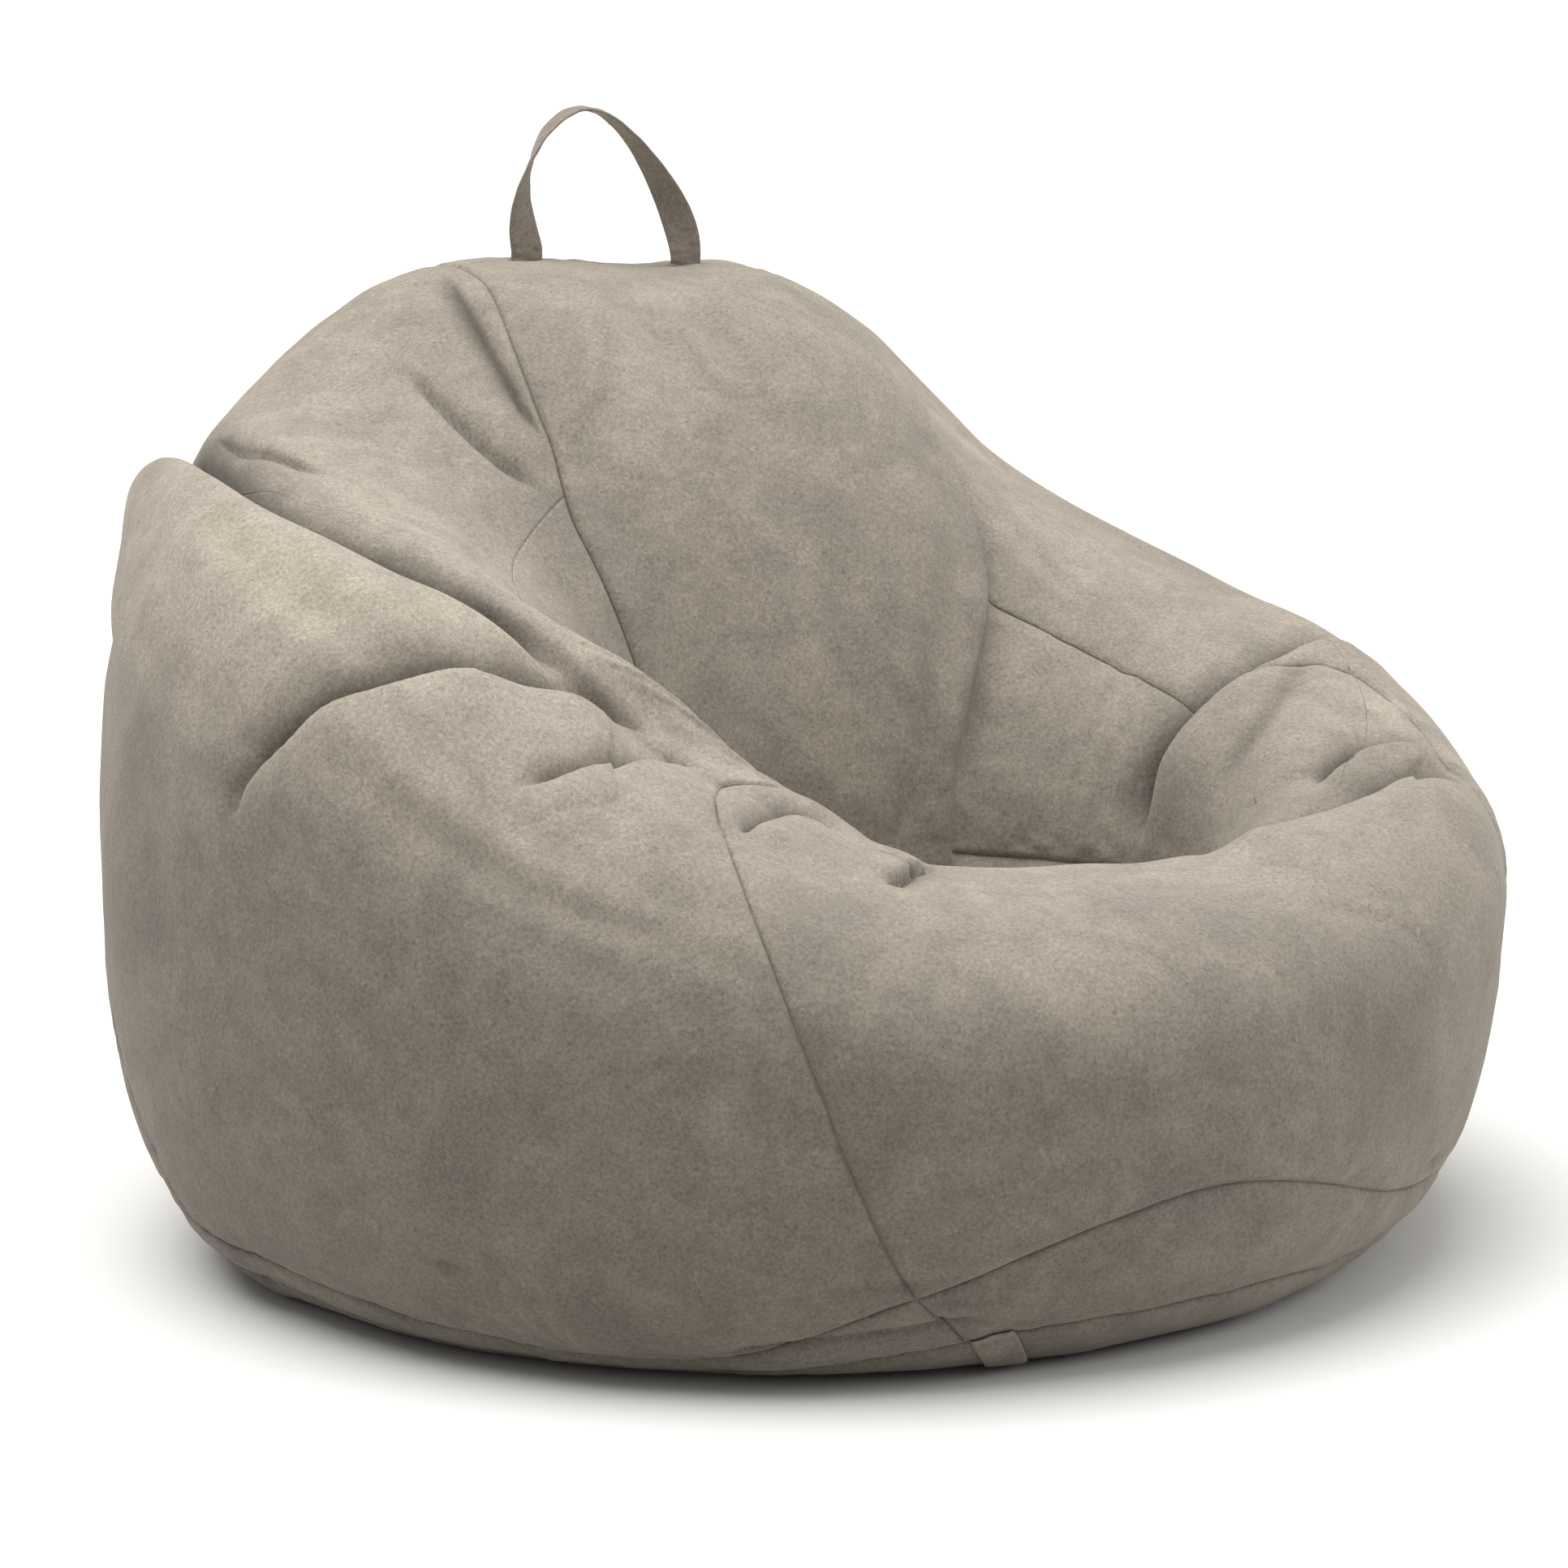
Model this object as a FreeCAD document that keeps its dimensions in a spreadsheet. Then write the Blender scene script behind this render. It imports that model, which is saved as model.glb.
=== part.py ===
import FreeCAD, Part
import math
import os
import Sketcher

# Bean bag chair: a sewn outer cover (nine panels), a carry loop, a zip in the base seam,
# a filled inner bag with its own zip, and the loose fill as one soft mass.
# The chair faces -Y, +X is to the right of someone facing it, +Z is up, z = 0 is the floor.

doc = FreeCAD.newDocument("bean_bag_chair")
sheet = doc.addObject("Spreadsheet::Sheet", "Sizes")

# Each ring is kept at 12 or 24 even steps round the bag, starting at the front and going
# anticlockwise seen from above.  Radii are from the z axis, inner_radius is from the seat centre.
STATIONS = {
    "base_radius": [362, 367, 374, 365, 360, 360, 360, 360, 345, 382, 380, 374],
    "belly_radius": [478, 487, 498, 500, 478, 478, 478, 478, 478, 500, 490, 481],
    "belly_height": [190, 200, 235, 240, 262, 262, 262, 262, 262, 250, 230, 200],
    "crest_radius": [295, 311, 330, 360, 390, 408, 415, 404, 385, 364, 345, 332,
                     325, 329, 340, 358, 372, 376, 372, 335, 300, 280, 280, 285],
    "crest_height": [309, 307, 305, 314, 330, 354, 385, 412, 450, 506, 604, 653,
                     655, 664, 660, 622, 580, 556, 530, 498, 456, 397, 364, 324],
    "inner_radius": [100, 145, 195, 200, 160, 125, 110, 125, 170, 180, 140, 95],
    "inner_height": [230, 230, 230, 235, 235, 230, 230, 230, 235, 240, 235, 230],
}
# Height of the base seam and of the band seam up the lower side, as a share of the way to the
# belly line, again every 30 degrees.
SEAMS = {
    "base_seam": [0.38, 0.44, 0.38, 0.38, 0.38, 0.38, 0.38, 0.38, 0.38, 0.30, 0.18, 0.16],
    "band_seam": [0.58, 0.80, 0.56, 0.52, 0.52, 0.52, 0.52, 0.52, 0.52, 0.44, 0.34, 0.28],
}
SINGLE = {
    "seat_x": 35, "seat_y": -125, "seat_height": 175,
    "low_power": 2.15, "up_power": 2.4, "in_power": 2.0,
    "cover_thickness": 1.2, "seam_gap": 0.4,
    "liner_depth": 8.0, "liner_thickness": 0.8, "fill_depth": 9.3,
    "strap_width": 25, "strap_thickness": 3, "loop_height": 107, "loop_lift": 5.0,
    "loop_left_x": -92, "loop_right_x": 38,
    "tape_width": 11, "tape_thickness": 0.4, "tape_rise": 0.5,
    "coil_width": 5, "coil_rise": 0.95, "coil_height": 2.0,
    "zip_angle": 66, "liner_zip_angle": 50, "liner_zip_share": 0.72,
    "slider_length": 12, "slider_width": 9.4, "slider_plate": 1.3, "slider_rise": 3.4,
    "slider_wall": 1.8, "slider_skirt": 1.3,
    "bridge_opening": 3.6, "bridge_thickness": 1.2, "bridge_width": 2.4, "bridge_span": 8.8,
    "pull_length": 26, "pull_width": 7, "pull_thickness": 1.6, "pull_window": 6.2,
    "pull_eye": 4, "stop_length": 3, "stop_width": 6.4, "stop_height": 2.6,
    "tab_lift": 0.4, "tab_thickness": 2.4,
}


def fill_sheet():
    """Write every size on its own row with its name as alias."""
    row = 1
    rows = {}
    for table in (STATIONS, SEAMS):
        for name, values in table.items():
            for index, value in enumerate(values):
                rows["%s_%03d" % (name, 360 // len(values) * index)] = value
    rows.update(SINGLE)
    for name, value in rows.items():
        sheet.set("A%d" % row, name)
        sheet.set("B%d" % row, str(value))
        sheet.setAlias("B%d" % row, name)
        row += 1
    doc.recompute()


fill_sheet()


def size(name):
    """A size read back from the sheet."""
    return float(sheet.get(name))


RING = {}
for table in (STATIONS, SEAMS):
    for ring_name, ring_values in table.items():
        step = 360 // len(ring_values)
        RING[ring_name] = [size("%s_%03d" % (ring_name, step * i)) for i in range(len(ring_values))]
SIZE = {name: size(name) for name in SINGLE}


# ---------------------------------------------------------------- the shape of the filled bag

def around(name, angle):
    """Value of a ring of stations at an angle in degrees, by a closed cubic through them."""
    values = RING[name]
    count = len(values)
    place = (angle / 360.0 * count) % count
    index = int(math.floor(place))
    part = place - index
    before = values[(index - 1) % count]
    here = values[index % count]
    after = values[(index + 1) % count]
    beyond = values[(index + 2) % count]
    third = 3 * (here - after) + beyond - before
    second = 2 * before - 5 * here + 4 * after - beyond + part * third
    return here + 0.5 * part * (after - before + part * second)


def along(knots, where):
    """Value at one place of a smooth curve through (place, value) knots, level beyond the ends."""
    if where <= knots[0][0]:
        return knots[0][1]
    if where >= knots[-1][0]:
        return knots[-1][1]
    last = len(knots) - 1
    i = 0
    while knots[i + 1][0] < where:
        i += 1

    def slope(k):
        if k == 0 or k == last:
            return 0.0
        return (knots[k + 1][1] - knots[k - 1][1]) / (knots[k + 1][0] - knots[k - 1][0])

    span = knots[i + 1][0] - knots[i][0]
    part = (where - knots[i][0]) / span
    rise = knots[i + 1][1] - knots[i][1]
    start = slope(i) * span
    end = slope(i + 1) * span
    return (knots[i][1] + part * start
            + part * part * (3 * rise - 2 * start - end)
            + part * part * part * (start + end - 2 * rise))


# The panels meet on five lines that run from the floor to the seat.  Each has a pattern angle, and
# the real angle it wanders to at each level (0 floor, 1 belly, 2 crest, 3 foot of the inner wall).
LINES = [
    (0.0, [(0.0, -4), (0.4, -8), (0.6, -13), (0.9, -18), (1.1, -21), (1.46, -25), (1.7, -28),
           (1.95, -32), (2.5, -33), (5.0, -33)]),
    (80.0, [(0.0, 62), (1.0, 62), (1.3, 63), (1.62, 67), (1.8, 74), (2.03, 82), (2.2, 87),
            (2.45, 94), (3.0, 96), (5.0, 96)]),
    (150.0, [(0.0, 150), (1.0, 152), (1.6, 160), (2.0, 164), (2.14, 159), (2.23, 147),
             (2.34, 137), (2.5, 134), (2.7, 138), (2.9, 144), (5.0, 146)]),
    (215.0, [(0.0, 208), (1.0, 207), (2.0, 207), (2.12, 211), (2.25, 218), (2.4, 226),
             (2.5, 231), (2.9, 235), (5.0, 235)]),
    (270.0, [(0.0, 279), (0.35, 277), (0.7, 268), (1.0, 259), (1.35, 249), (1.66, 246),
             (1.85, 255), (2.0, 264), (2.2, 271), (2.45, 274), (5.0, 276)]),
]


def real_angle(pattern, level):
    """Real angle of a pattern angle at a level: the offsets of the two nearest lines, blended."""
    count = len(LINES)
    for i in range(count):
        low, low_knots = LINES[i]
        high, high_knots = LINES[(i + 1) % count]
        if i == count - 1:
            high += 360.0
        if low <= pattern <= high:
            part = (pattern - low) / (high - low)
            blend = part * part * (3 - 2 * part)
            low_offset = along(low_knots, level) - low
            high_offset = along(high_knots, level) - (high % 360.0)
            return pattern + low_offset + (high_offset - low_offset) * blend
    return pattern


BASE_LEVEL = 0.3
BAND_LEVEL = 0.6


def height_share(pattern, level):
    """Where a pattern level lies up the profile; the two low seams are moved to their heights."""
    if level >= 1.5:
        return level
    base = around("base_seam", pattern)
    band = around("band_seam", pattern)
    return along([(-1.0, -1.0), (0.0, 0.0), (BASE_LEVEL, base), (BAND_LEVEL, band),
                  (1.1, 1.1), (1.5, 1.5), (2.0, 2.0)], level)


def quarter(part, power):
    """Point (c, s) of a rounded-square quarter turn, from (1, 0) at 0 to (0, 1) at 1."""
    angle = min(max(part, 0.0), 1.0) * math.pi / 2
    return max(math.cos(angle), 0.0) ** (2 / power), max(math.sin(angle), 0.0) ** (2 / power)


def skin_point(pattern, level):
    """Point of the outside of the filled bag at a pattern angle and level (0 floor, 5 seat centre)."""
    up = height_share(pattern, level)
    angle = real_angle(pattern, up)
    turn = math.radians(angle)
    side_x = math.sin(turn)
    side_y = -math.cos(turn)
    belly = around("belly_radius", angle)
    belly_z = around("belly_height", angle)
    if up < 1:
        c, s = quarter(1 - up, SIZE["low_power"])
        base = around("base_radius", angle)
        radius = base + (belly - base) * c
        return FreeCAD.Vector(radius * side_x, radius * side_y, belly_z * (1 - s))
    crest = around("crest_radius", angle)
    crest_z = around("crest_height", angle)
    if up < 2:
        c, s = quarter(up - 1, SIZE["up_power"])
        radius = crest + (belly - crest) * c
        return FreeCAD.Vector(radius * side_x, radius * side_y, belly_z + (crest_z - belly_z) * s)
    inner = around("inner_radius", angle)
    inner_z = around("inner_height", angle)
    foot_x = SIZE["seat_x"] + inner * side_x
    foot_y = SIZE["seat_y"] + inner * side_y
    if up < 3:
        c, s = quarter(3 - up, SIZE["in_power"])
        return FreeCAD.Vector(crest * side_x + (foot_x - crest * side_x) * c,
                              crest * side_y + (foot_y - crest * side_y) * c,
                              inner_z + (crest_z - inner_z) * s)
    c, s = quarter((up - 3) / 2, 2.0)
    return FreeCAD.Vector(SIZE["seat_x"] + (foot_x - SIZE["seat_x"]) * c,
                          SIZE["seat_y"] + (foot_y - SIZE["seat_y"]) * c,
                          SIZE["seat_height"] + (inner_z - SIZE["seat_height"]) * (1 - s))


def skin_normal(pattern, level):
    """Outward unit normal of the bag by central differences; exact at the floor and seat centre."""
    if level <= 0:
        return FreeCAD.Vector(0, 0, -1)
    if level >= 5:
        return FreeCAD.Vector(0, 0, 1)
    turn_step = 0.05
    level_step = 0.002
    if pattern < turn_step or pattern > 360 - turn_step:
        pattern = 0.0
        across = skin_point(turn_step, level) - skin_point(360 - turn_step, level)
    else:
        across = skin_point(pattern + turn_step, level) - skin_point(pattern - turn_step, level)
    climb = skin_point(pattern, level + level_step) - skin_point(pattern, level - level_step)
    normal = across.cross(climb)
    normal.normalize()
    return normal


def columns():
    """Pattern angles of the grid, with the five panel lines among them."""
    result = [0.0]
    for start, end, steps in ((0, 80, 16), (80, 150, 14), (150, 215, 13), (215, 270, 11),
                              (270, 360, 18)):
        for k in range(1, steps + 1):
            result.append(start + (end - start) * k / float(steps))
    return result


TOP_LEVEL = 2.0
ARM_LEVEL = 2.45
SEAT_LEVEL = 2.95
ROWS = [0.0, 0.04, 0.1, 0.17, 0.24, 0.3, 0.36, 0.44, 0.52, 0.6, 0.7, 0.8, 0.9, 1.0, 1.1, 1.2, 1.3,
        1.4, 1.5, 1.6, 1.7, 1.8, 1.9, 2.0, 2.09, 2.18, 2.27, 2.36, 2.45, 2.55, 2.65, 2.75, 2.85,
        2.93, 3.0, 3.1, 3.22, 3.36, 3.52, 3.7, 3.9, 4.1, 4.35, 4.6, 4.8, 5.0]
COLUMNS = columns()
POINTS = [[skin_point(column, row) for row in ROWS] for column in COLUMNS]
NORMALS = [[skin_normal(column, row) for row in ROWS] for column in COLUMNS]


def node_slopes(nodes, values, closed):
    """Slopes at the nodes of the smoothest cubic curve through values (x, y, z lists).  A closed
    curve joins up smoothly; an open one starts and ends with the slope of the first parabola."""
    count = len(nodes)
    last = count - 1
    gaps = [nodes[i + 1] - nodes[i] for i in range(last)]
    steps = [[(values[i + 1][k] - values[i][k]) / gaps[i] for k in range(3)] for i in range(last)]
    if closed:
        # a few passes of relaxation on the ring of equations; the diagonal is twice the rest
        slopes = [[0.0, 0.0, 0.0] for i in range(last)]
        for sweep in range(60):
            for i in range(last):
                before = (i - 1) % last
                after = (i + 1) % last
                for k in range(3):
                    right = 3 * (gaps[i] * steps[before][k] + gaps[before] * steps[i][k])
                    right -= gaps[i] * slopes[before][k] + gaps[before] * slopes[after][k]
                    slopes[i][k] = right / (2 * (gaps[before] + gaps[i]))
        return slopes + [list(slopes[0])]
    slopes = [[0.0, 0.0, 0.0] for i in range(count)]
    for k in range(3):
        share = gaps[0] / (gaps[0] + gaps[1])
        slopes[0][k] = steps[0][k] * (1 + share) - steps[1][k] * share
        share = gaps[-1] / (gaps[-1] + gaps[-2])
        slopes[last][k] = steps[-1][k] * (1 + share) - steps[-2][k] * share
    for sweep in range(60):
        for i in range(1, last):
            for k in range(3):
                right = 3 * (gaps[i] * steps[i - 1][k] + gaps[i - 1] * steps[i][k])
                right -= gaps[i] * slopes[i - 1][k] + gaps[i - 1] * slopes[i + 1][k]
                slopes[i][k] = right / (2 * (gaps[i - 1] + gaps[i]))
    return slopes


def curve_poles(nodes, values, closed):
    """Control points of the cubic B-spline through values, with single knots at the nodes."""
    slopes = node_slopes(nodes, values, closed)
    last = len(nodes) - 1

    def corner(piece, one, two, three):
        """Value of the polar form of one cubic piece at three parameters."""
        gap = nodes[piece + 1] - nodes[piece]
        one, two, three = [(t - nodes[piece]) / gap for t in (one, two, three)]
        result = []
        for k in range(3):
            start = values[piece][k]
            first = slopes[piece][k] * gap
            rise = values[piece + 1][k] - start
            end = slopes[piece + 1][k] * gap
            square = 3 * rise - 2 * first - end
            cube = first + end - 2 * rise
            result.append(start + first * (one + two + three) / 3
                          + square * (one * two + two * three + one * three) / 3
                          + cube * one * two * three)
        return result

    poles = [list(values[0]), corner(0, nodes[0], nodes[0], nodes[1])]
    for i in range(2, last + 1):
        poles.append(corner(i - 2, nodes[i - 2], nodes[i - 1], nodes[i]))
    poles.append(corner(last - 1, nodes[last - 1], nodes[last], nodes[last]))
    poles.append(list(values[last]))
    return poles


def layer(depth):
    """Smooth surface a depth below the outside of the bag.  Its two parameters are the pattern
    angle (0 to 360) and the level (0 floor, 1 belly, 2 crest, 3 inner foot, 5 seat centre)."""
    rings = []
    for j in range(len(ROWS)):
        ring = []
        for i in range(len(COLUMNS)):
            source = 0 if (i == len(COLUMNS) - 1 or j == len(ROWS) - 1) else i
            place = POINTS[source][j] - NORMALS[source][j] * depth
            ring.append([place.x, place.y, place.z])
        if j == len(ROWS) - 1:
            rings.append([list(ring[0]) for i in range(len(COLUMNS) + 2)])
        else:
            rings.append(curve_poles(COLUMNS, ring, True))
    columns_of_poles = []
    for i in range(len(COLUMNS) + 2):
        line = curve_poles(ROWS, [ring[i] for ring in rings], False)
        line[1][2] = line[0][2]
        columns_of_poles.append([FreeCAD.Vector(x, y, z) for x, y, z in line])
    columns_of_poles[-1] = list(columns_of_poles[0])
    surface = Part.BSplineSurface()
    ends = [4] + [1] * (len(COLUMNS) - 2) + [4]
    surface.buildFromPolesMultsKnots(columns_of_poles, ends, [4] + [1] * (len(ROWS) - 2) + [4],
                                     COLUMNS, ROWS, False, False, 3, 3)
    return surface


def cut_patch(surface, turn_low, turn_high, level_low, level_high):
    """Face of the surface between four parameters, on its own cut-down surface."""
    patch = surface.copy()
    patch.segment(turn_low, turn_high, level_low, level_high)
    return patch.toShape()


def sewn_solid(faces, name):
    """Sew faces into one closed shell and return it as a solid with positive volume."""
    compound = Part.makeCompound(faces)
    compound.sewShape()
    shells = compound.Shells
    if len(shells) != 1:
        raise RuntimeError("%s: %d shells after sewing" % (name, len(shells)))
    solid = Part.Solid(shells[0])
    if solid.Volume < 0:
        solid.reverse()
    return solid


def flat_cap(edges):
    """Flat level face inside a ring of edges."""
    plane = Part.Plane(FreeCAD.Vector(0, 0, edges[0].Vertexes[0].Z), FreeCAD.Vector(0, 0, 1))
    return Part.Face(plane, Part.Wire(Part.__sortEdges__(edges)))


OUTER = layer(0.0)
INNER = layer(SIZE["cover_thickness"])
GAP_TURN = math.degrees(SIZE["seam_gap"] / 2 / 480.0)
GAP_LEVEL = SIZE["seam_gap"] / 2 / 350.0


def edge_strip(curve_a, curve_b):
    """Ruled face between two curves that share their degree and knots."""
    strip = Part.BSplineSurface()
    strip.buildFromPolesMultsKnots([curve_a.getPoles(), curve_b.getPoles()], [2, 2],
                                   curve_a.getMultiplicities(), [0, 1], curve_a.getKnots(),
                                   False, False, 1, curve_a.Degree)
    return strip.toShape()


def level_key(level):
    """Name of a level line in a table of moves, kept apart from the turn lines."""
    return "level %s" % level


def cover_panel(name, blocks, moves, layers):
    """One sewn fabric piece between two layers.  blocks are (turn, turn, level, level) cells; moves says which panel
    lines give up half a seam gap (+1 towards higher values, -1 towards lower).  The outer and
    inner skins are joined by ruled strips along every free edge."""
    faces = []
    free = {}
    for surface in layers:
        for turn_a, turn_b, level_a, level_b in blocks:
            u0 = turn_a + moves.get(turn_a, 0) * GAP_TURN
            u1 = turn_b + moves.get(turn_b, 0) * GAP_TURN
            v0 = level_a + moves.get(level_key(level_a), 0) * GAP_LEVEL
            v1 = level_b + moves.get(level_key(level_b), 0) * GAP_LEVEL
            faces.append(cut_patch(surface, u0, u1, v0, v1))
            sides = [(("turn", turn_a % 360, level_a), surface.uIso(u0), v0, v1),
                     (("turn", turn_b % 360, level_a), surface.uIso(u1), v0, v1),
                     (("level", level_a, turn_a), surface.vIso(v0), u0, u1)]
            if level_b < 5:
                sides.append((("level", level_b, turn_a), surface.vIso(v1), u0, u1))
            for key, curve, start, end in sides:
                curve.segment(start, end)
                free.setdefault(key, []).append(curve)
    floor_rings = ([], [])
    for key, curves in free.items():
        if len(curves) != 2:
            continue
        if key[0] == "level" and key[1] == 0.0:
            floor_rings[0].append(curves[0].toShape())
            floor_rings[1].append(curves[1].toShape())
        else:
            faces.append(edge_strip(curves[0], curves[1]))
    for ring in floor_rings:
        if ring:
            faces.append(flat_cap(ring))
    return sewn_solid(faces, name)


def filled_solid(depth, name):
    """Closed solid bounded by the layer at one depth and its flat floor."""
    surface = layer(depth)
    faces = []
    ring = []
    for turn_a, turn_b in ((0, 180), (180, 360)):
        faces.append(cut_patch(surface, turn_a, turn_b, 0, 5))
        ring.append(surface.vIso(0).toShape(turn_a, turn_b))
    faces.append(flat_cap(ring))
    return sewn_solid(faces, name)


parts = []


def keep(name, shape):
    """Document object that carries a finished shape under the sub-part's name."""
    feature = doc.addObject("Part::Feature", name)
    feature.Label = name
    feature.Shape = shape
    parts.append(feature)
    return feature


# ---------------------------------------------------------------- sewn cover panels

PANELS = [
    ("front_right_panel",
     [(0, 80, BAND_LEVEL, ARM_LEVEL), (0, 80, ARM_LEVEL, SEAT_LEVEL),
      (80, 150, ARM_LEVEL, SEAT_LEVEL)],
     {0: 1, 80: -1, 150: -1, level_key(BAND_LEVEL): 1, level_key(ARM_LEVEL): 1,
      level_key(SEAT_LEVEL): -1}),
    ("front_left_panel",
     [(270, 360, BAND_LEVEL, ARM_LEVEL), (270, 360, ARM_LEVEL, SEAT_LEVEL),
      (215, 270, ARM_LEVEL, SEAT_LEVEL)],
     {360: -1, 270: 1, 215: 1, level_key(BAND_LEVEL): 1, level_key(ARM_LEVEL): 1,
      level_key(SEAT_LEVEL): -1}),
    ("side_right_panel",
     [(80, 150, BAND_LEVEL, ARM_LEVEL)],
     {80: 1, 150: -1, level_key(BAND_LEVEL): 1, level_key(ARM_LEVEL): -1}),
    ("side_left_panel",
     [(215, 270, BAND_LEVEL, ARM_LEVEL)],
     {215: 1, 270: -1, level_key(BAND_LEVEL): 1, level_key(ARM_LEVEL): -1}),
    ("rear_panel",
     [(150, 215, BAND_LEVEL, TOP_LEVEL)],
     {150: 1, 215: -1, level_key(BAND_LEVEL): 1, level_key(TOP_LEVEL): -1}),
    ("backrest_seat_panel",
     [(150, 215, TOP_LEVEL, SEAT_LEVEL), (0, 150, SEAT_LEVEL, 5.0), (150, 215, SEAT_LEVEL, 5.0),
      (215, 360, SEAT_LEVEL, 5.0)],
     {150: 1, 215: -1, level_key(TOP_LEVEL): 1, level_key(SEAT_LEVEL): 1}),
    ("base_band_right",
     [(0, 180, BASE_LEVEL, BAND_LEVEL)],
     {0: 1, 180: -1, level_key(BASE_LEVEL): 1, level_key(BAND_LEVEL): -1}),
    ("base_band_left",
     [(180, 360, BASE_LEVEL, BAND_LEVEL)],
     {180: 1, 360: -1, level_key(BASE_LEVEL): 1, level_key(BAND_LEVEL): -1}),
    ("base_panel",
     [(0, 180, 0.0, BASE_LEVEL), (180, 360, 0.0, BASE_LEVEL)],
     {level_key(BASE_LEVEL): -1}),
]
for panel_name, panel_blocks, panel_moves in PANELS:
    keep(panel_name, cover_panel(panel_name, panel_blocks, panel_moves, (OUTER, INNER)))

# The folded tab that covers the front end of the base seam, sewn flat on the cover.
TAB_BLOCK = [(0.5, 5.0, 0.12, 0.34)]
tab_layers = (layer(-SIZE["tab_lift"] - SIZE["tab_thickness"]), layer(-SIZE["tab_lift"]))
keep("seam_tab", cover_panel("seam_tab", TAB_BLOCK, {}, tab_layers))

# ---------------------------------------------------------------- inner bag and its fill

liner_outside = filled_solid(SIZE["liner_depth"], "inner_liner outside")
liner_inside = filled_solid(SIZE["liner_depth"] + SIZE["liner_thickness"], "inner_liner inside")
liner_hollow = liner_inside.Shells[0].copy()
liner_hollow.reverse()
liner_walls = Part.makeCompound([liner_outside.Shells[0], liner_hollow])
keep("inner_liner", Part.makeSolid(liner_walls))
keep("bead_fill", filled_solid(SIZE["fill_depth"], "bead_fill"))

# ---------------------------------------------------------------- carry loop


def crest_point(x_wanted):
    """Point of the top seam at an x, found by halving between the two backrest lines."""
    low = 150.0
    high = 215.0
    for step in range(40):
        middle = (low + high) / 2
        if skin_point(middle, TOP_LEVEL).x > x_wanted:
            low = middle
        else:
            high = middle
    return skin_point(low, TOP_LEVEL)


# Path of the loop: share of the way from the left foot to the right foot, share of the height,
# and turn of the strap about its path in degrees (0 = width along the seam, 90 = across it).
LOOP_PATH = [(0.0, 0.0, 0), (-0.03, 0.16, 14), (-0.04, 0.36, 40), (0.0, 0.60, 66),
             (0.09, 0.83, 84), (0.25, 0.98, 90), (0.42, 0.97, 90), (0.60, 0.82, 84),
             (0.76, 0.60, 68), (0.89, 0.36, 44), (0.97, 0.15, 18), (1.0, 0.0, 0)]


def strap_loop():
    """Loft of strap cross-sections that follow the path and turn with it."""
    lift = FreeCAD.Vector(0, 0, SIZE["loop_lift"])
    left = crest_point(SIZE["loop_left_x"]) + lift
    right = crest_point(SIZE["loop_right_x"]) + lift
    seam = right - left
    along_seam = FreeCAD.Vector(seam).normalize()
    across = FreeCAD.Vector(0, 0, 1).cross(along_seam).normalize()
    up = along_seam.cross(across).normalize()
    places = [left + seam * share + up * (rise * SIZE["loop_height"])
              for share, rise, turn in LOOP_PATH]
    wires = []
    for i, (share, rise, turn) in enumerate(LOOP_PATH):
        if i == 0 or i == len(places) - 1:
            forward = FreeCAD.Vector(up) if i == 0 else up * -1.0
        else:
            forward = (places[i + 1] - places[i - 1]).normalize()
        side = along_seam if forward.dot(up) >= 0 else along_seam * -1.0
        if abs(forward.dot(along_seam)) > 0.95:
            side = up * -1.0
        flat = side - forward * side.dot(forward)
        flat.normalize()
        turned = math.radians(turn)
        width = flat * math.cos(turned) + across * math.sin(turned)
        width = (width - forward * width.dot(forward)).normalize()
        thick = forward.cross(width).normalize()
        w = width * (SIZE["strap_width"] / 2)
        k = thick * (SIZE["strap_thickness"] / 2)
        corners = [places[i] + w + k, places[i] - w + k, places[i] - w - k, places[i] + w - k]
        wires.append(Part.makePolygon(corners + [corners[0]]))
    return Part.makeLoft(wires, True, False), left, right


loop_shape, loop_left, loop_right = strap_loop()
keep("carry_handle", loop_shape)

# ---------------------------------------------------------------- zips


def add_size(name, value):
    """One more row of the sheet, for a size worked out from the others."""
    row = 1
    while sheet.getContents("A%d" % row):
        row += 1
    sheet.set("A%d" % row, name)
    sheet.set("B%d" % row, value if isinstance(value, str) else "%.6f" % value)
    sheet.setAlias("B%d" % row, name)


def zip_frame(prefix, share, depth):
    """Radius, height and lean of a zip that runs round the back at a share of the way up."""
    base = around("base_radius", 180)
    belly = around("belly_radius", 180)
    belly_z = around("belly_height", 180)

    def spot(value):
        c, s = quarter(1 - value, SIZE["low_power"])
        return base + (belly - base) * c, belly_z * (1 - s)

    low = spot(share - 0.005)
    high = spot(share + 0.005)
    length = math.hypot(high[0] - low[0], high[1] - low[1])
    out = (high[0] - low[0]) / length
    up = (high[1] - low[1]) / length
    radius, height = spot(share)
    radius -= up * depth
    height += out * depth
    add_size(prefix + "_radius", radius)
    add_size(prefix + "_height", height)
    add_size(prefix + "_lean", -math.degrees(math.atan2(out, up)))
    return radius, height, out, up


def origin_part(body, role):
    """Plane or axis of a body's own origin, found by its role."""
    for item in body.Origin.OriginFeatures:
        if item.Role == role:
            return item
    raise RuntimeError(role)


def new_body(name):
    body = doc.addObject("PartDesign::Body", name)
    body.Label = name
    parts.append(body)
    return body


def signed(name):
    """Value and expression of a sheet name that may carry a minus sign."""
    if name.startswith("-"):
        return -size(name[1:]), "-Sizes." + name[1:]
    return size(name), "Sizes." + name


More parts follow.
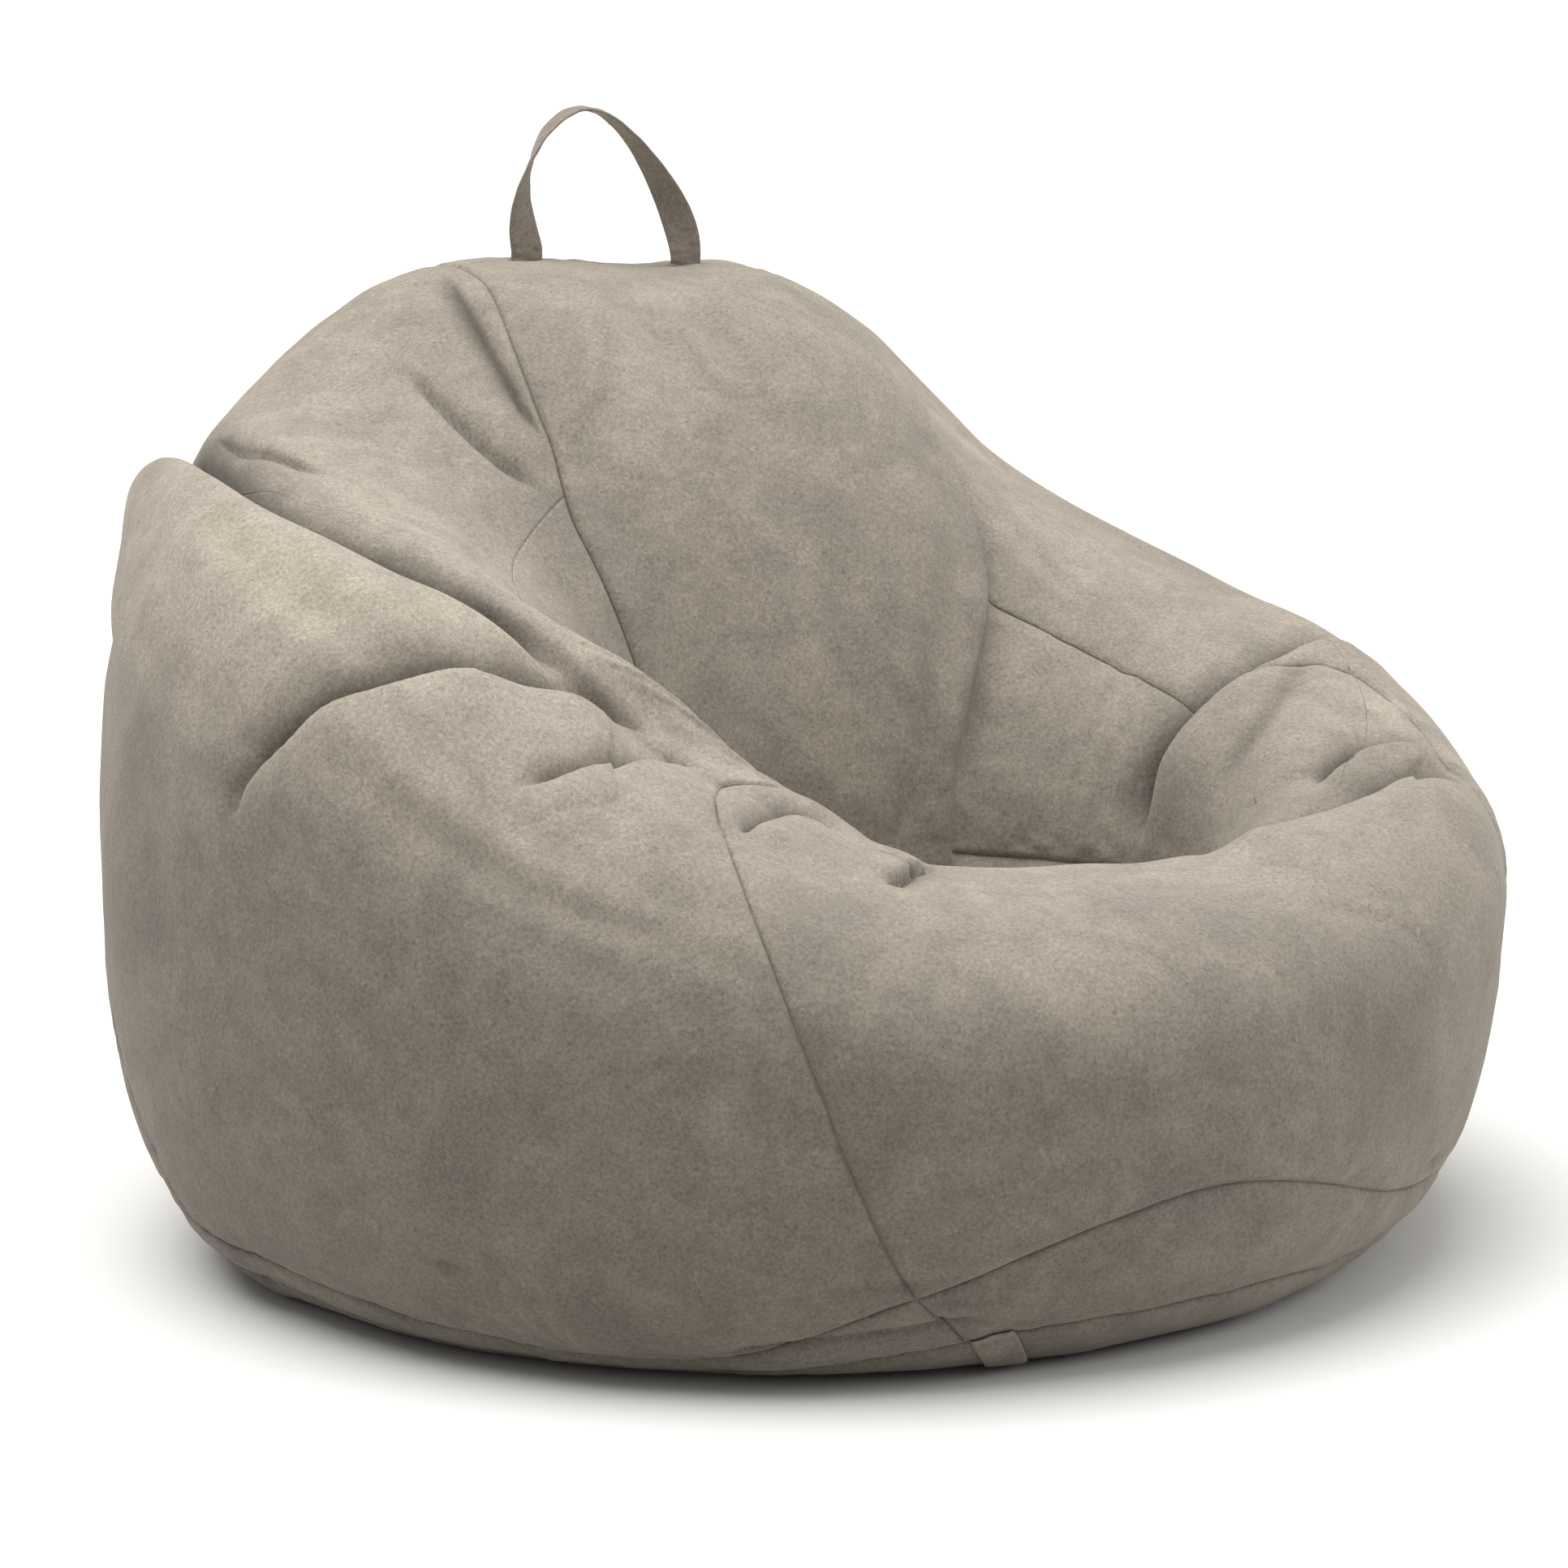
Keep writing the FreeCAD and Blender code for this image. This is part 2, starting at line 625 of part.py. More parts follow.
def rectangle(sketch, left, right, low, high):
    """Closed rectangle whose four sides are held by sheet names."""
    names = (left, right, low, high)
    x0, x1, y0, y1 = [signed(name)[0] for name in names]
    first = len(sketch.Geometry)
    corners = [FreeCAD.Vector(x0, y0, 0), FreeCAD.Vector(x1, y0, 0),
               FreeCAD.Vector(x1, y1, 0), FreeCAD.Vector(x0, y1, 0)]
    for i in range(4):
        sketch.addGeometry(Part.LineSegment(corners[i], corners[(i + 1) % 4]), False)
    for i in range(4):
        sketch.addConstraint(Sketcher.Constraint("Coincident", first + i, 2,
                                                 first + (i + 1) % 4, 1))
    for i in (0, 2):
        sketch.addConstraint(Sketcher.Constraint("Horizontal", first + i))
    for i in (1, 3):
        sketch.addConstraint(Sketcher.Constraint("Vertical", first + i))
    holds = [("DistanceX", first, x0), ("DistanceX", first + 1, x1),
             ("DistanceY", first, y0), ("DistanceY", first + 2, y1)]
    for name, (kind, line, value) in zip(names, holds):
        index = sketch.addConstraint(Sketcher.Constraint(kind, -1, 1, line, 1, value))
        sketch.setExpression("Constraints[%d]" % index, signed(name)[1])


def new_sketch(body, role, name):
    """Sketch on one of the body's own planes."""
    sketch = body.newObject("Sketcher::SketchObject", name)
    sketch.AttachmentSupport = (origin_part(body, role), [""])
    sketch.MapMode = "FlatFace"
    return sketch


def arc_strip(name, prefix, angle_name, section):
    """Strip of rectangular section (out of the skin, up the skin) that runs round the back."""
    body = new_body(name)
    sketch = new_sketch(body, "XZ_Plane", name + "_section")
    lean = FreeCAD.Rotation(FreeCAD.Vector(0, 0, 1), size(prefix + "_lean"))
    place = FreeCAD.Vector(size(prefix + "_radius"), size(prefix + "_height"), 0)
    sketch.AttachmentOffset = FreeCAD.Placement(place, lean)
    sketch.setExpression("AttachmentOffset.Base.x", "Sizes.%s_radius" % prefix)
    sketch.setExpression("AttachmentOffset.Base.y", "Sizes.%s_height" % prefix)
    rectangle(sketch, *section)
    arc = body.newObject("PartDesign::Revolution", name + "_round")
    arc.Profile = sketch
    arc.ReferenceAxis = (origin_part(body, "Z_Axis"), [""])
    arc.Midplane = True
    arc.Angle = size(angle_name)
    arc.setExpression("Angle", "Sizes." + angle_name)
    body.Tip = arc
    body.Placement = FreeCAD.Placement(FreeCAD.Vector(), FreeCAD.Rotation(FreeCAD.Vector(0, 0, 1), 90))
    return body


def skin_placement(frame, turn):
    """Placement on a zip's line: x along the zip, y up the skin, z straight out of it."""
    radius, height, out, up = frame
    angle = math.radians(turn)
    radial = FreeCAD.Vector(math.sin(angle), -math.cos(angle), 0)
    x_axis = FreeCAD.Vector(math.cos(angle), math.sin(angle), 0)
    y_axis = radial * out + FreeCAD.Vector(0, 0, up)
    z_axis = radial * up - FreeCAD.Vector(0, 0, out)
    origin = radial * radius + FreeCAD.Vector(0, 0, height)
    matrix = FreeCAD.Matrix(x_axis.x, y_axis.x, z_axis.x, origin.x,
                            x_axis.y, y_axis.y, z_axis.y, origin.y,
                            x_axis.z, y_axis.z, z_axis.z, origin.z, 0, 0, 0, 1)
    return FreeCAD.Placement(matrix)


def pad(body, sketch, name, low, high):
    """Pad a sketch on the XY plane from one height to another, both sheet names."""
    start, start_text = signed(low)
    end, end_text = signed(high)
    sketch.AttachmentOffset = FreeCAD.Placement(FreeCAD.Vector(0, 0, start), FreeCAD.Rotation())
    sketch.setExpression("AttachmentOffset.Base.z", start_text)
    feature = body.newObject("PartDesign::Pad", name)
    feature.Profile = sketch
    feature.Length = end - start
    feature.setExpression("Length", "%s - (%s)" % (end_text, start_text))
    body.Tip = feature
    return feature


def block(body, name, left, right, low, high, start, end):
    """Rectangular pad of a body, all six sides sheet names."""
    sketch = new_sketch(body, "XY_Plane", name + "_outline")
    rectangle(sketch, left, right, low, high)
    return pad(body, sketch, name, start, end)


def slider(name, with_bridge):
    """Zip slider: a plate over the coil, a wall down each side of it and, outside, a bridge."""
    body = new_body(name)
    block(body, name + "_plate", "-slider_half_length", "slider_half_length",
          "-slider_half_width", "slider_half_width", "slider_rise", "slider_top")
    block(body, name + "_wall_low", "-slider_half_length", "slider_half_length",
          "-slider_half_width", "-slider_inside", "slider_skirt", "slider_top")
    block(body, name + "_wall_high", "-slider_half_length", "slider_half_length",
          "slider_inside", "slider_half_width", "slider_skirt", "slider_top")
    if with_bridge:
        block(body, name + "_post_front", "bridge_inside", "bridge_half",
              "-bridge_half_width", "bridge_half_width", "slider_rise", "bridge_top")
        block(body, name + "_post_back", "-bridge_half", "-bridge_inside",
              "-bridge_half_width", "bridge_half_width", "slider_rise", "bridge_top")
        block(body, name + "_bar", "-bridge_half", "bridge_half",
              "-bridge_half_width", "bridge_half_width", "bridge_under", "bridge_top")
    return body


DERIVED = {
    "coil_half": "=coil_width / 2",
    "coil_top": "=coil_rise + coil_height",
    "tape_top": "=tape_rise + tape_thickness",
    "tape_near": "=coil_width / 4",
    "tape_far": "=coil_width / 4 + tape_width",
    "slider_top": "=slider_rise + slider_plate",
    "slider_half_length": "=slider_length / 2",
    "slider_half_width": "=slider_width / 2",
    "slider_inside": "=slider_width / 2 - slider_wall",
    "bridge_under": "=slider_rise + slider_plate + bridge_opening",
    "bridge_top": "=slider_rise + slider_plate + bridge_opening + bridge_thickness",
    "bridge_half": "=bridge_span / 2",
    "bridge_inside": "=bridge_span / 2 - bridge_thickness",
    "bridge_half_width": "=bridge_width / 2",
    "pin_height": "=slider_rise + slider_plate + bridge_opening / 2",
    "pull_half_thickness": "=pull_thickness / 2",
    "pull_half_width": "=pull_width / 2",
    "pull_half_eye": "=pull_eye / 2",
    "stop_half": "=stop_width / 2",
    "stop_half_length": "=stop_length / 2",
    "stop_top": "=coil_rise + stop_height",
}
for derived_name, formula in DERIVED.items():
    add_size(derived_name, formula)
doc.recompute()

cover_zip = zip_frame("zip", around("base_seam", 180), 0.0)
liner_zip = zip_frame("liner_zip", SIZE["liner_zip_share"], SIZE["liner_depth"])
doc.recompute()

UPPER_TAPE = ("tape_rise", "tape_top", "tape_near", "tape_far")
LOWER_TAPE = ("tape_rise", "tape_top", "-tape_far", "-tape_near")
COIL = ("coil_rise", "coil_top", "-coil_half", "coil_half")
arc_strip("zip_tape_upper", "zip", "zip_angle", UPPER_TAPE)
arc_strip("zip_tape_lower", "zip", "zip_angle", LOWER_TAPE)
arc_strip("zip_coil", "zip", "zip_angle", COIL)
arc_strip("liner_zip_tape_upper", "liner_zip", "liner_zip_angle", UPPER_TAPE)
arc_strip("liner_zip_tape_lower", "liner_zip", "liner_zip_angle", LOWER_TAPE)
arc_strip("liner_zip_coil", "liner_zip", "liner_zip_angle", COIL)

# A slider waits at the closed end of its coil, a stop lies just past each end.
for end_name, end_sign in (("zip_stop_left", 1), ("zip_stop_right", -1)):
    stop = new_body(end_name)
    block(stop, end_name + "_block", "-stop_half_length", "stop_half_length",
          "-stop_half", "stop_half", "coil_rise", "stop_top")
    past = math.degrees((SIZE["stop_length"] / 2 + 0.4) / cover_zip[0])
    stop.Placement = skin_placement(cover_zip, 180 + end_sign * (SIZE["zip_angle"] / 2 + past))

ZIP_REST = 180 + SIZE["zip_angle"] / 2 - 1.3
LINER_REST = 180 + SIZE["liner_zip_angle"] / 2 - 1.3
zip_slider = slider("zip_slider", True)
zip_slider.Placement = skin_placement(cover_zip, ZIP_REST)
liner_slider = slider("liner_zip_slider", False)
liner_slider.Placement = skin_placement(liner_zip, LINER_REST)

# The pull: a pin under the bridge, two arms past it and a flat tongue, turning about its pin.
pull = new_body("zip_pull")
outline = new_sketch(pull, "XY_Plane", "zip_pull_outline")
rectangle(outline, "-pull_half_thickness", "pull_length", "-pull_half_width", "pull_half_width")
rectangle(outline, "pull_half_thickness", "pull_window", "-pull_half_eye", "pull_half_eye")
pad(pull, outline, "zip_pull_plate", "-pull_half_thickness", "pull_half_thickness")
pull.Placement = skin_placement(cover_zip, ZIP_REST).multiply(
    FreeCAD.Placement(FreeCAD.Vector(0, 0, size("pin_height")), FreeCAD.Rotation()))

# ---------------------------------------------------------------- check and write

doc.recompute()
for item in doc.Objects:
    if "Invalid" in item.State or "Error" in item.State:
        raise RuntimeError("%s is in state %s" % (item.Name, item.State))
os.makedirs("parts", exist_ok=True)
for item in parts:
    shape = item.Shape
    if shape.isNull() or not shape.isValid():
        raise RuntimeError("%s has no valid shape" % item.Label)
    shape.exportStep("parts/%s.step" % item.Label)
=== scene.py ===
import bpy
import numpy as np
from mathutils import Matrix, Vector


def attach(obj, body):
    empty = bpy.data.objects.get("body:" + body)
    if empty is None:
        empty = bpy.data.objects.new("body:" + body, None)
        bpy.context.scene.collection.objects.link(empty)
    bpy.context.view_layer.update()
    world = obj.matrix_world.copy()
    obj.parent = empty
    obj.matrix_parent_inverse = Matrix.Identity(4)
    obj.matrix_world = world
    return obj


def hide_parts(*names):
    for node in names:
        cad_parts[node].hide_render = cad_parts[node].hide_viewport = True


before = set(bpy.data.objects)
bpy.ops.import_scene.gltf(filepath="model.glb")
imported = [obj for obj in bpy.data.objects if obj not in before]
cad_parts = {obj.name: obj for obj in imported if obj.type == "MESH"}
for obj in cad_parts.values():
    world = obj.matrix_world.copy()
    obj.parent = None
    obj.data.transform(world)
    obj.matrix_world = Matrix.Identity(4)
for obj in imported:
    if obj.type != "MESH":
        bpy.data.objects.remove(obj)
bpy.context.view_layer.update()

# ---------------------------------------------------------------------------------------------
# The filled bag.  A cover of brushed faux suede hangs round a liner full of foam beads, and the
# weight of the beads gives it one slumped, dimpled shape.  That shape is worked out first: one
# grid of points round and up the bag, which the panels, the liner and the fill are then cut from.

# Sizes of the bag at 12 or 24 even steps round it from the front, in millimetres.
RINGS = {
    "base_radius": [362, 367, 374, 365, 360, 360, 360, 360, 345, 382, 380, 374],
    "belly_radius": [478, 487, 498, 500, 478, 478, 478, 478, 478, 500, 490, 481],
    "belly_height": [190, 200, 235, 240, 262, 262, 262, 262, 262, 250, 230, 200],
    "crest_radius": [295, 311, 330, 360, 390, 408, 415, 404, 385, 364, 345, 332,
                     325, 329, 340, 358, 372, 376, 372, 335, 300, 280, 280, 285],
    "crest_height": [309, 307, 305, 314, 330, 354, 385, 412, 450, 506, 604, 653,
                     655, 664, 660, 622, 580, 556, 530, 498, 456, 397, 364, 324],
    "inner_radius": [100, 145, 195, 200, 160, 125, 110, 125, 170, 180, 140, 95],
    "inner_height": [230, 230, 230, 235, 235, 230, 230, 230, 235, 240, 235, 230],
    "base_seam": [0.38, 0.44, 0.38, 0.38, 0.38, 0.38, 0.38, 0.38, 0.38, 0.30, 0.18, 0.16],
    "band_seam": [0.58, 0.80, 0.56, 0.52, 0.52, 0.52, 0.52, 0.52, 0.52, 0.44, 0.34, 0.28],
}
SEAT_X, SEAT_Y, SEAT_HEIGHT = 35.0, -125.0, 175.0
LOW_POWER, UP_POWER, IN_POWER = 2.15, 2.4, 2.0

# The five seams that run from the base to the seat: pattern angle, then (level, real angle).
LINES = [
    (0.0, [(0.0, -4), (0.4, -8), (0.6, -13), (0.9, -18), (1.1, -21), (1.46, -25), (1.7, -28),
           (1.95, -32), (2.5, -33), (5.0, -33)]),
    (80.0, [(0.0, 62), (1.0, 62), (1.3, 63), (1.62, 67), (1.8, 74), (2.03, 82), (2.2, 87),
            (2.45, 94), (3.0, 96), (5.0, 96)]),
    (150.0, [(0.0, 150), (1.0, 152), (1.6, 160), (2.0, 164), (2.14, 159), (2.23, 147),
             (2.34, 137), (2.5, 134), (2.7, 138), (2.9, 144), (5.0, 146)]),
    (215.0, [(0.0, 208), (1.0, 207), (2.0, 207), (2.12, 211), (2.25, 218), (2.4, 226),
             (2.5, 231), (2.9, 235), (5.0, 235)]),
    (270.0, [(0.0, 279), (0.35, 277), (0.7, 268), (1.0, 259), (1.35, 249), (1.66, 246),
             (1.85, 255), (2.0, 264), (2.2, 271), (2.45, 274), (5.0, 276)]),
]
BASE_LEVEL, BAND_LEVEL, TOP_LEVEL, ARM_LEVEL, SEAT_LEVEL = 0.3, 0.6, 2.0, 2.45, 2.95


def around(name, angle):
    """Closed cubic through the values of a ring: each stretch leaves a value with the
    slope of the line between its two neighbours."""
    values = np.array(RINGS[name], float)
    place = np.mod(angle, 360.0) / 360.0 * len(values)
    index = np.floor(place).astype(int)
    part = place - index
    before, here, after, beyond = (values[(index + k) % len(values)] for k in (-1, 0, 1, 2))
    return here + 0.5 * part * (after - before + part * (
        2 * before - 5 * here + 4 * after - beyond + part * (3 * (here - after) + beyond - before)))


def along(places, values, where):
    """Open cubic through (place, value) knots: inner slopes join the two neighbours, end slopes
    are nought, and the value is level beyond both ends."""
    last = len(places) - 1
    slopes = [0.0] + [(values[k + 1] - values[k - 1]) / (places[k + 1] - places[k - 1])
                      for k in range(1, last)] + [0.0]
    result = values[0] + 0.0 * where
    for k in range(last):
        span = places[k + 1] - places[k]
        part = np.clip((where - places[k]) / span, 0.0, 1.0)
        rise = values[k + 1] - values[k]
        start, end = slopes[k] * span, slopes[k + 1] * span
        piece = (values[k] + part * start + part ** 2 * (3 * rise - 2 * start - end)
                 + part ** 3 * (start + end - 2 * rise))
        result = np.where(where > places[k], piece, result)
    return result


def smooth(value, low, high):
    """0 below low, 1 above high, and an S-curve 3t^2 - 2t^3 between them."""
    part = np.clip((value - low) / (high - low), 0.0, 1.0)
    return part * part * (3.0 - 2.0 * part)


def height_share(turn, level):
    """Level of a pattern point moved so that the base and band seams lie at their own heights."""
    low = along([-1.0, 0.0, BASE_LEVEL, BAND_LEVEL, 1.1, 1.5, 2.0],
                [-1.0, 0.0, around("base_seam", turn), around("band_seam", turn), 1.1, 1.5, 2.0],
                level)
    return np.where(level >= 1.5, level, low)


def real_angle(turn, share):
    """Pattern angle plus the drift of the two nearest seams, blended by an S-curve."""
    drift = [along([k[0] for k in knots], [float(k[1]) for k in knots], share) - line
             for line, knots in LINES]
    result = turn + 0.0 * share
    for i, (low, _) in enumerate(LINES):
        high = LINES[i + 1][0] if i < 4 else 360.0
        blend = smooth(turn, low, high)
        inside = (turn >= low) & (turn <= high)
        result = np.where(inside, turn + drift[i] + (drift[(i + 1) % 5] - drift[i]) * blend, result)
    return result


def quarter(part, power):
    """Rounded quarter turn: cosine and sine of the turn, each raised to two over the power."""
    angle = np.clip(part, 0.0, 1.0) * np.pi / 2
    return (np.maximum(np.cos(angle), 0.0) ** (2 / power),
            np.maximum(np.sin(angle), 0.0) ** (2 / power))


def bag_point(angle, share):
    """Point of the bag, in mm, at a real angle and a share up the profile.  Four rounded quarter
    turns follow each other: floor to belly (0-1), belly to crest (1-2), crest down to the foot
    of the hollow (2-3), and foot to the middle of the seat (3-5)."""
    turn = np.radians(angle)
    side = np.stack([np.sin(turn), -np.cos(turn)], -1)
    ring = {name: around(name, angle) for name in list(RINGS)[:7]}
    seat = np.array([SEAT_X, SEAT_Y])
    foot = seat + ring["inner_radius"][..., None] * side
    crest = ring["crest_radius"][..., None] * side

    c, s = quarter(1 - share, LOW_POWER)
    low_radius = ring["base_radius"] + (ring["belly_radius"] - ring["base_radius"]) * c
    low_flat = low_radius[..., None] * side
    low_z = ring["belly_height"] * (1 - s)
    c, s = quarter(share - 1, UP_POWER)
    up_radius = ring["crest_radius"] + (ring["belly_radius"] - ring["crest_radius"]) * c
    up_flat = up_radius[..., None] * side
    up_z = ring["belly_height"] + (ring["crest_height"] - ring["belly_height"]) * s
    c, s = quarter(3 - share, IN_POWER)
    in_flat = crest + (foot - crest) * c[..., None]
    in_z = ring["inner_height"] + (ring["crest_height"] - ring["inner_height"]) * s
    c, s = quarter((share - 3) / 2, 2.0)
    seat_flat = seat + (foot - seat) * c[..., None]
    seat_z = SEAT_HEIGHT + (ring["inner_height"] - SEAT_HEIGHT) * (1 - s)
    part = [share < 1, share < 2, share < 3]
    flat = np.select([m[..., None] for m in part], [low_flat, up_flat, in_flat], seat_flat)
    return np.concatenate([flat, np.select(part, [low_z, up_z, in_z], seat_z)[..., None]], -1)


def crowded(low, high, steps, lean=0.45):
    """Steps from low to high that crowd together at both ends: t - lean/(2 pi) sin(2 pi t)."""
    t = np.arange(steps) / steps
    return low + (high - low) * (t - lean / (2 * np.pi) * np.sin(2 * np.pi * t))


turns = np.concatenate([crowded(*piece) for piece in (
    (0, 80, 150), (80, 150, 130), (150, 215, 120), (215, 270, 104), (270, 360, 170))])
levels = np.concatenate([crowded(*piece) for piece in (
    (-1, 0, 10, 0.0), (0, BASE_LEVEL, 18), (BASE_LEVEL, BAND_LEVEL, 20),
    (BAND_LEVEL, TOP_LEVEL, 150), (TOP_LEVEL, ARM_LEVEL, 50), (ARM_LEVEL, SEAT_LEVEL, 48),
    (SEAT_LEVEL, 5, 54, 0.2))] + [np.array([5.0])])
T, L = np.meshgrid(turns, levels, indexing="ij")
SHARE = height_share(T, L)
ANGLE = real_angle(T, SHARE)
FLOOR = levels <= 0


def across_up(points):
    """Unit normal of the grid: step round the bag crossed with the step up it."""
    sideways = np.roll(points, -1, 0) - np.roll(points, 1, 0)
    upwards = np.gradient(points, axis=1)
    normal = np.cross(sideways, upwards)
    return normal / np.maximum(np.linalg.norm(normal, axis=-1, keepdims=True), 1e-9)


plain = bag_point(ANGLE, SHARE)
plain[:, FLOOR, :2] = plain[:, FLOOR.sum() - 1:FLOOR.sum(), :2] * (1 + levels[FLOOR])[None, :, None]
plain[:, FLOOR, 2] = 0.0
OUT = across_up(plain)
OUT[:, FLOOR] = (0, 0, -1)
OUT[:, -1] = (0, 0, 1)


# Seams: (kind, place, from, to).  A column seam runs up the bag at one pattern angle, a row seam
# runs round it at one level.  Where the left arm buckles its seam lies out of sight in the crease.
HIDDEN_LEVEL = 1.62
SEAMS = [("column", 0, BASE_LEVEL, SEAT_LEVEL), ("column", 80, BAND_LEVEL, ARM_LEVEL),
         ("column", 150, BAND_LEVEL, SEAT_LEVEL), ("column", 180, BASE_LEVEL, BAND_LEVEL),
         ("column", 215, BAND_LEVEL, SEAT_LEVEL), ("column", 270, BAND_LEVEL, HIDDEN_LEVEL),
         ("row", BASE_LEVEL, 0, 360), ("row", BAND_LEVEL, 0, 360),
         ("row", TOP_LEVEL, 150, 215), ("row", ARM_LEVEL, 80, 150),
         ("row", SEAT_LEVEL, 0, 150), ("row", SEAT_LEVEL, 215, 360)]


def seam_distance(kind, place, low, high):
    """Distance, in mm, from every grid point to a seam: to the point of the seam in the same row
    or column, or to its nearer end past that."""
    if kind == "column":
        i = int(np.argmin(np.abs(turns - place)))
        js = np.clip(np.arange(len(levels)), np.argmin(np.abs(levels - low)),
                     np.argmin(np.abs(levels - high)))
        nearest = plain[i, js][None, :, :]
    else:
        j = int(np.argmin(np.abs(levels - place)))
        first = np.argmin(np.abs(turns - low))
        final = len(turns) - 1 if high == 360 else np.argmin(np.abs(turns - high))
        nearest = plain[np.clip(np.arange(len(turns)), first, final), j][:, None, :]
    return np.linalg.norm(plain - nearest, axis=-1)


seam_gap = np.full(T.shape, 1e9)
for seam in SEAMS:
    seam_gap = np.minimum(seam_gap, seam_distance(*seam))


def waves(points, length, seed, count=28):
    """Even, seeded noise from -1 to 1: a sum of sine waves of about one length, each with its
    own direction and start."""
    random = np.random.default_rng(seed)
    total = np.zeros(points.shape[:-1])
    for k in range(count):
        direction = random.normal(size=points.shape[-1])
        direction *= 2 * np.pi / length * random.uniform(0.6, 1.5) / np.linalg.norm(direction)
        total += np.sin(points @ direction + random.uniform(0, 2 * np.pi))
    return total / np.sqrt(count) / 1.4


# Folds and creases where the bag buckles: name, (real angle, share up) places, depth and width of
# the valley, rise of the cloth left and right of it, how far off that rise peaks, and its overhang.
FOLDS = [
    ("deep left", [(236, 1.42), (241, 1.54), (246, 1.66), (252, 1.76), (258, 1.84), (264, 1.90),
                   (270, 1.94), (278, 1.96), (286, 1.98), (293, 1.99), (300, 2.0),
                   (307, 2.02)], 40, 8, 2, 15, 34, 10),
    ("left notch", [(246, 1.82), (250, 1.9), (255.7, 2.03), (257.5, 2.12)], 7, 5, 4, 3, 20, 3),
    ("left arm", [(288, 1.22), (289.5, 1.32), (292.6, 1.45), (295, 1.57), (298, 1.66),
                  (301, 1.77), (304, 1.86), (308, 1.95), (312, 2.02), (316, 2.06)],
     22, 6, 1, 12, 28, 9),
    ("left arm small", [(311, 1.62), (314, 1.71), (316.5, 1.82), (320, 1.96), (323, 2.06)],
     11, 4, 1, 6, 20, 4),
    ("rim", [(332, 1.80), (334, 1.92), (337, 2.02), (341, 2.12)], 11, 4, 1, 6, 20, 4),
    ("rim corner", [(347, 1.84), (350, 1.93), (353, 2.02), (355, 2.14)], 11, 4, 6, 1, 20, 4),
    ("deep right", [(88.5, 1.60), (89, 1.76), (89.9, 1.90), (90.5, 2.16), (93, 2.35), (95.6, 2.49),
                    (98.5, 2.68), (101, 2.9)], 28, 6, 15, 2, 30, 10),
    ("right tip", [(31, 2.08), (33, 2.03), (39, 2.0), (46, 1.95), (55, 1.87), (61, 1.72),
                   (65, 1.54)], 20, 6, 1, 11, 30, 8),
    ("right tip upper", [(60, 2.18), (64, 2.04), (67, 1.89), (66.5, 1.73), (64.5, 1.6)],
     15, 5, 1, 8, 24, 5),
    ("right tip soft", [(86, 2.1), (83, 2.25), (81, 2.42), (80, 2.62)], 5, 10, 3, 3, 26, 0),
    ("low left", [(268, 0.34), (275, 0.30), (284, 0.24)], 8, 7, 3, 3, 20, 0),
    ("low front", [(338, 0.44), (350, 0.57), (3, 0.62), (14, 0.60)], 4, 6, 2, 2, 20, 0),
    ("low front two", [(330, 0.36), (345, 0.46), (356, 0.52)], 4, 5, 2, 2, 16, 0),
    ("backrest pucker", [(211, 2.02), (214.5, 2.10), (218.7, 2.19), (223, 2.29), (226.5, 2.39)],
     10, 6, 6, 3, 20, 3),
    ("backrest pucker two", [(229, 2.14), (232.5, 2.24), (233.8, 2.33), (232, 2.43)],
     9, 6, 4, 4, 20, 2),
]


def fold(places, depth, width, left, right, reach, overhang):
    """Push along the normal, and slide towards the crease, for one fold.  The valley falls off as
    exp(-distance / width), steep on the side of the roll that stands higher and long on the side
    that tucks under it.  The cloth beside it rises as x exp(1 - x) with x = distance / reach, and
    all of it fades to nothing at the ends of the crease."""
    places = np.array(places, float)
    knots = np.arange(len(places))
    fine = np.linspace(0, len(places) - 1, 6 * (len(places) - 1) + 1)
    angle, share = (along(knots, places[:, k], fine) for k in (0, 1))
    line = bag_point(angle, share)
    length = np.concatenate([[0], np.cumsum(np.linalg.norm(np.diff(line, axis=0), axis=1))])
    low, high = line.min(0) - 3.2 * reach, line.max(0) + 3.2 * reach
    near = ((plain > low) & (plain < high)).all(-1)
    points, out = plain[near], OUT[near]
    best = np.full(len(points), 1e9)
    spot = np.zeros(len(points))
    gap = np.zeros(points.shape)
    forward = np.zeros(points.shape)
    for a, b, start, size in zip(line[:-1], line[1:], length[:-1], np.diff(length)):
        ahead = (b - a) / size
        step = np.clip((points - a) @ ahead, 0, size)
        away = points - a - step[:, None] * ahead
        distance = np.linalg.norm(away, axis=1)
        closer = distance < best
        best = np.where(closer, distance, best)
        spot = np.where(closer, start + step, spot)
        gap = np.where(closer[:, None], away, gap)
        forward = np.where(closer[:, None], ahead, forward)
    side = np.einsum("ij,ij->i", np.cross(out, forward), gap)
    side = smooth(side, -0.3 * width, 0.3 * width)
    taper = smooth(spot, 0, 0.22 * length[-1]) * (1 - smooth(spot, 0.78 * length[-1], length[-1]))
    x = best / reach
    hump = x * np.exp(1 - x) * (right + (left - right) * side)
    tight = 0.74 if left == right else (side if left > right else 1 - side)
    push = np.zeros(T.shape)
    push[near] = taper * (hump - depth * np.exp(-best / (width * (2.4 - 1.9 * tight))))
    slide = np.zeros(plain.shape)
    inward = -gap / np.maximum(best, 1e-6)[:, None]
    heavy = np.where((left - right) * (side - 0.5) > 0, 1.0, 0.0)
    y = best / (0.6 * reach)
    slide[near] = inward * (taper * heavy * overhang * y * np.exp(1 - y))[:, None]
    return push, slide


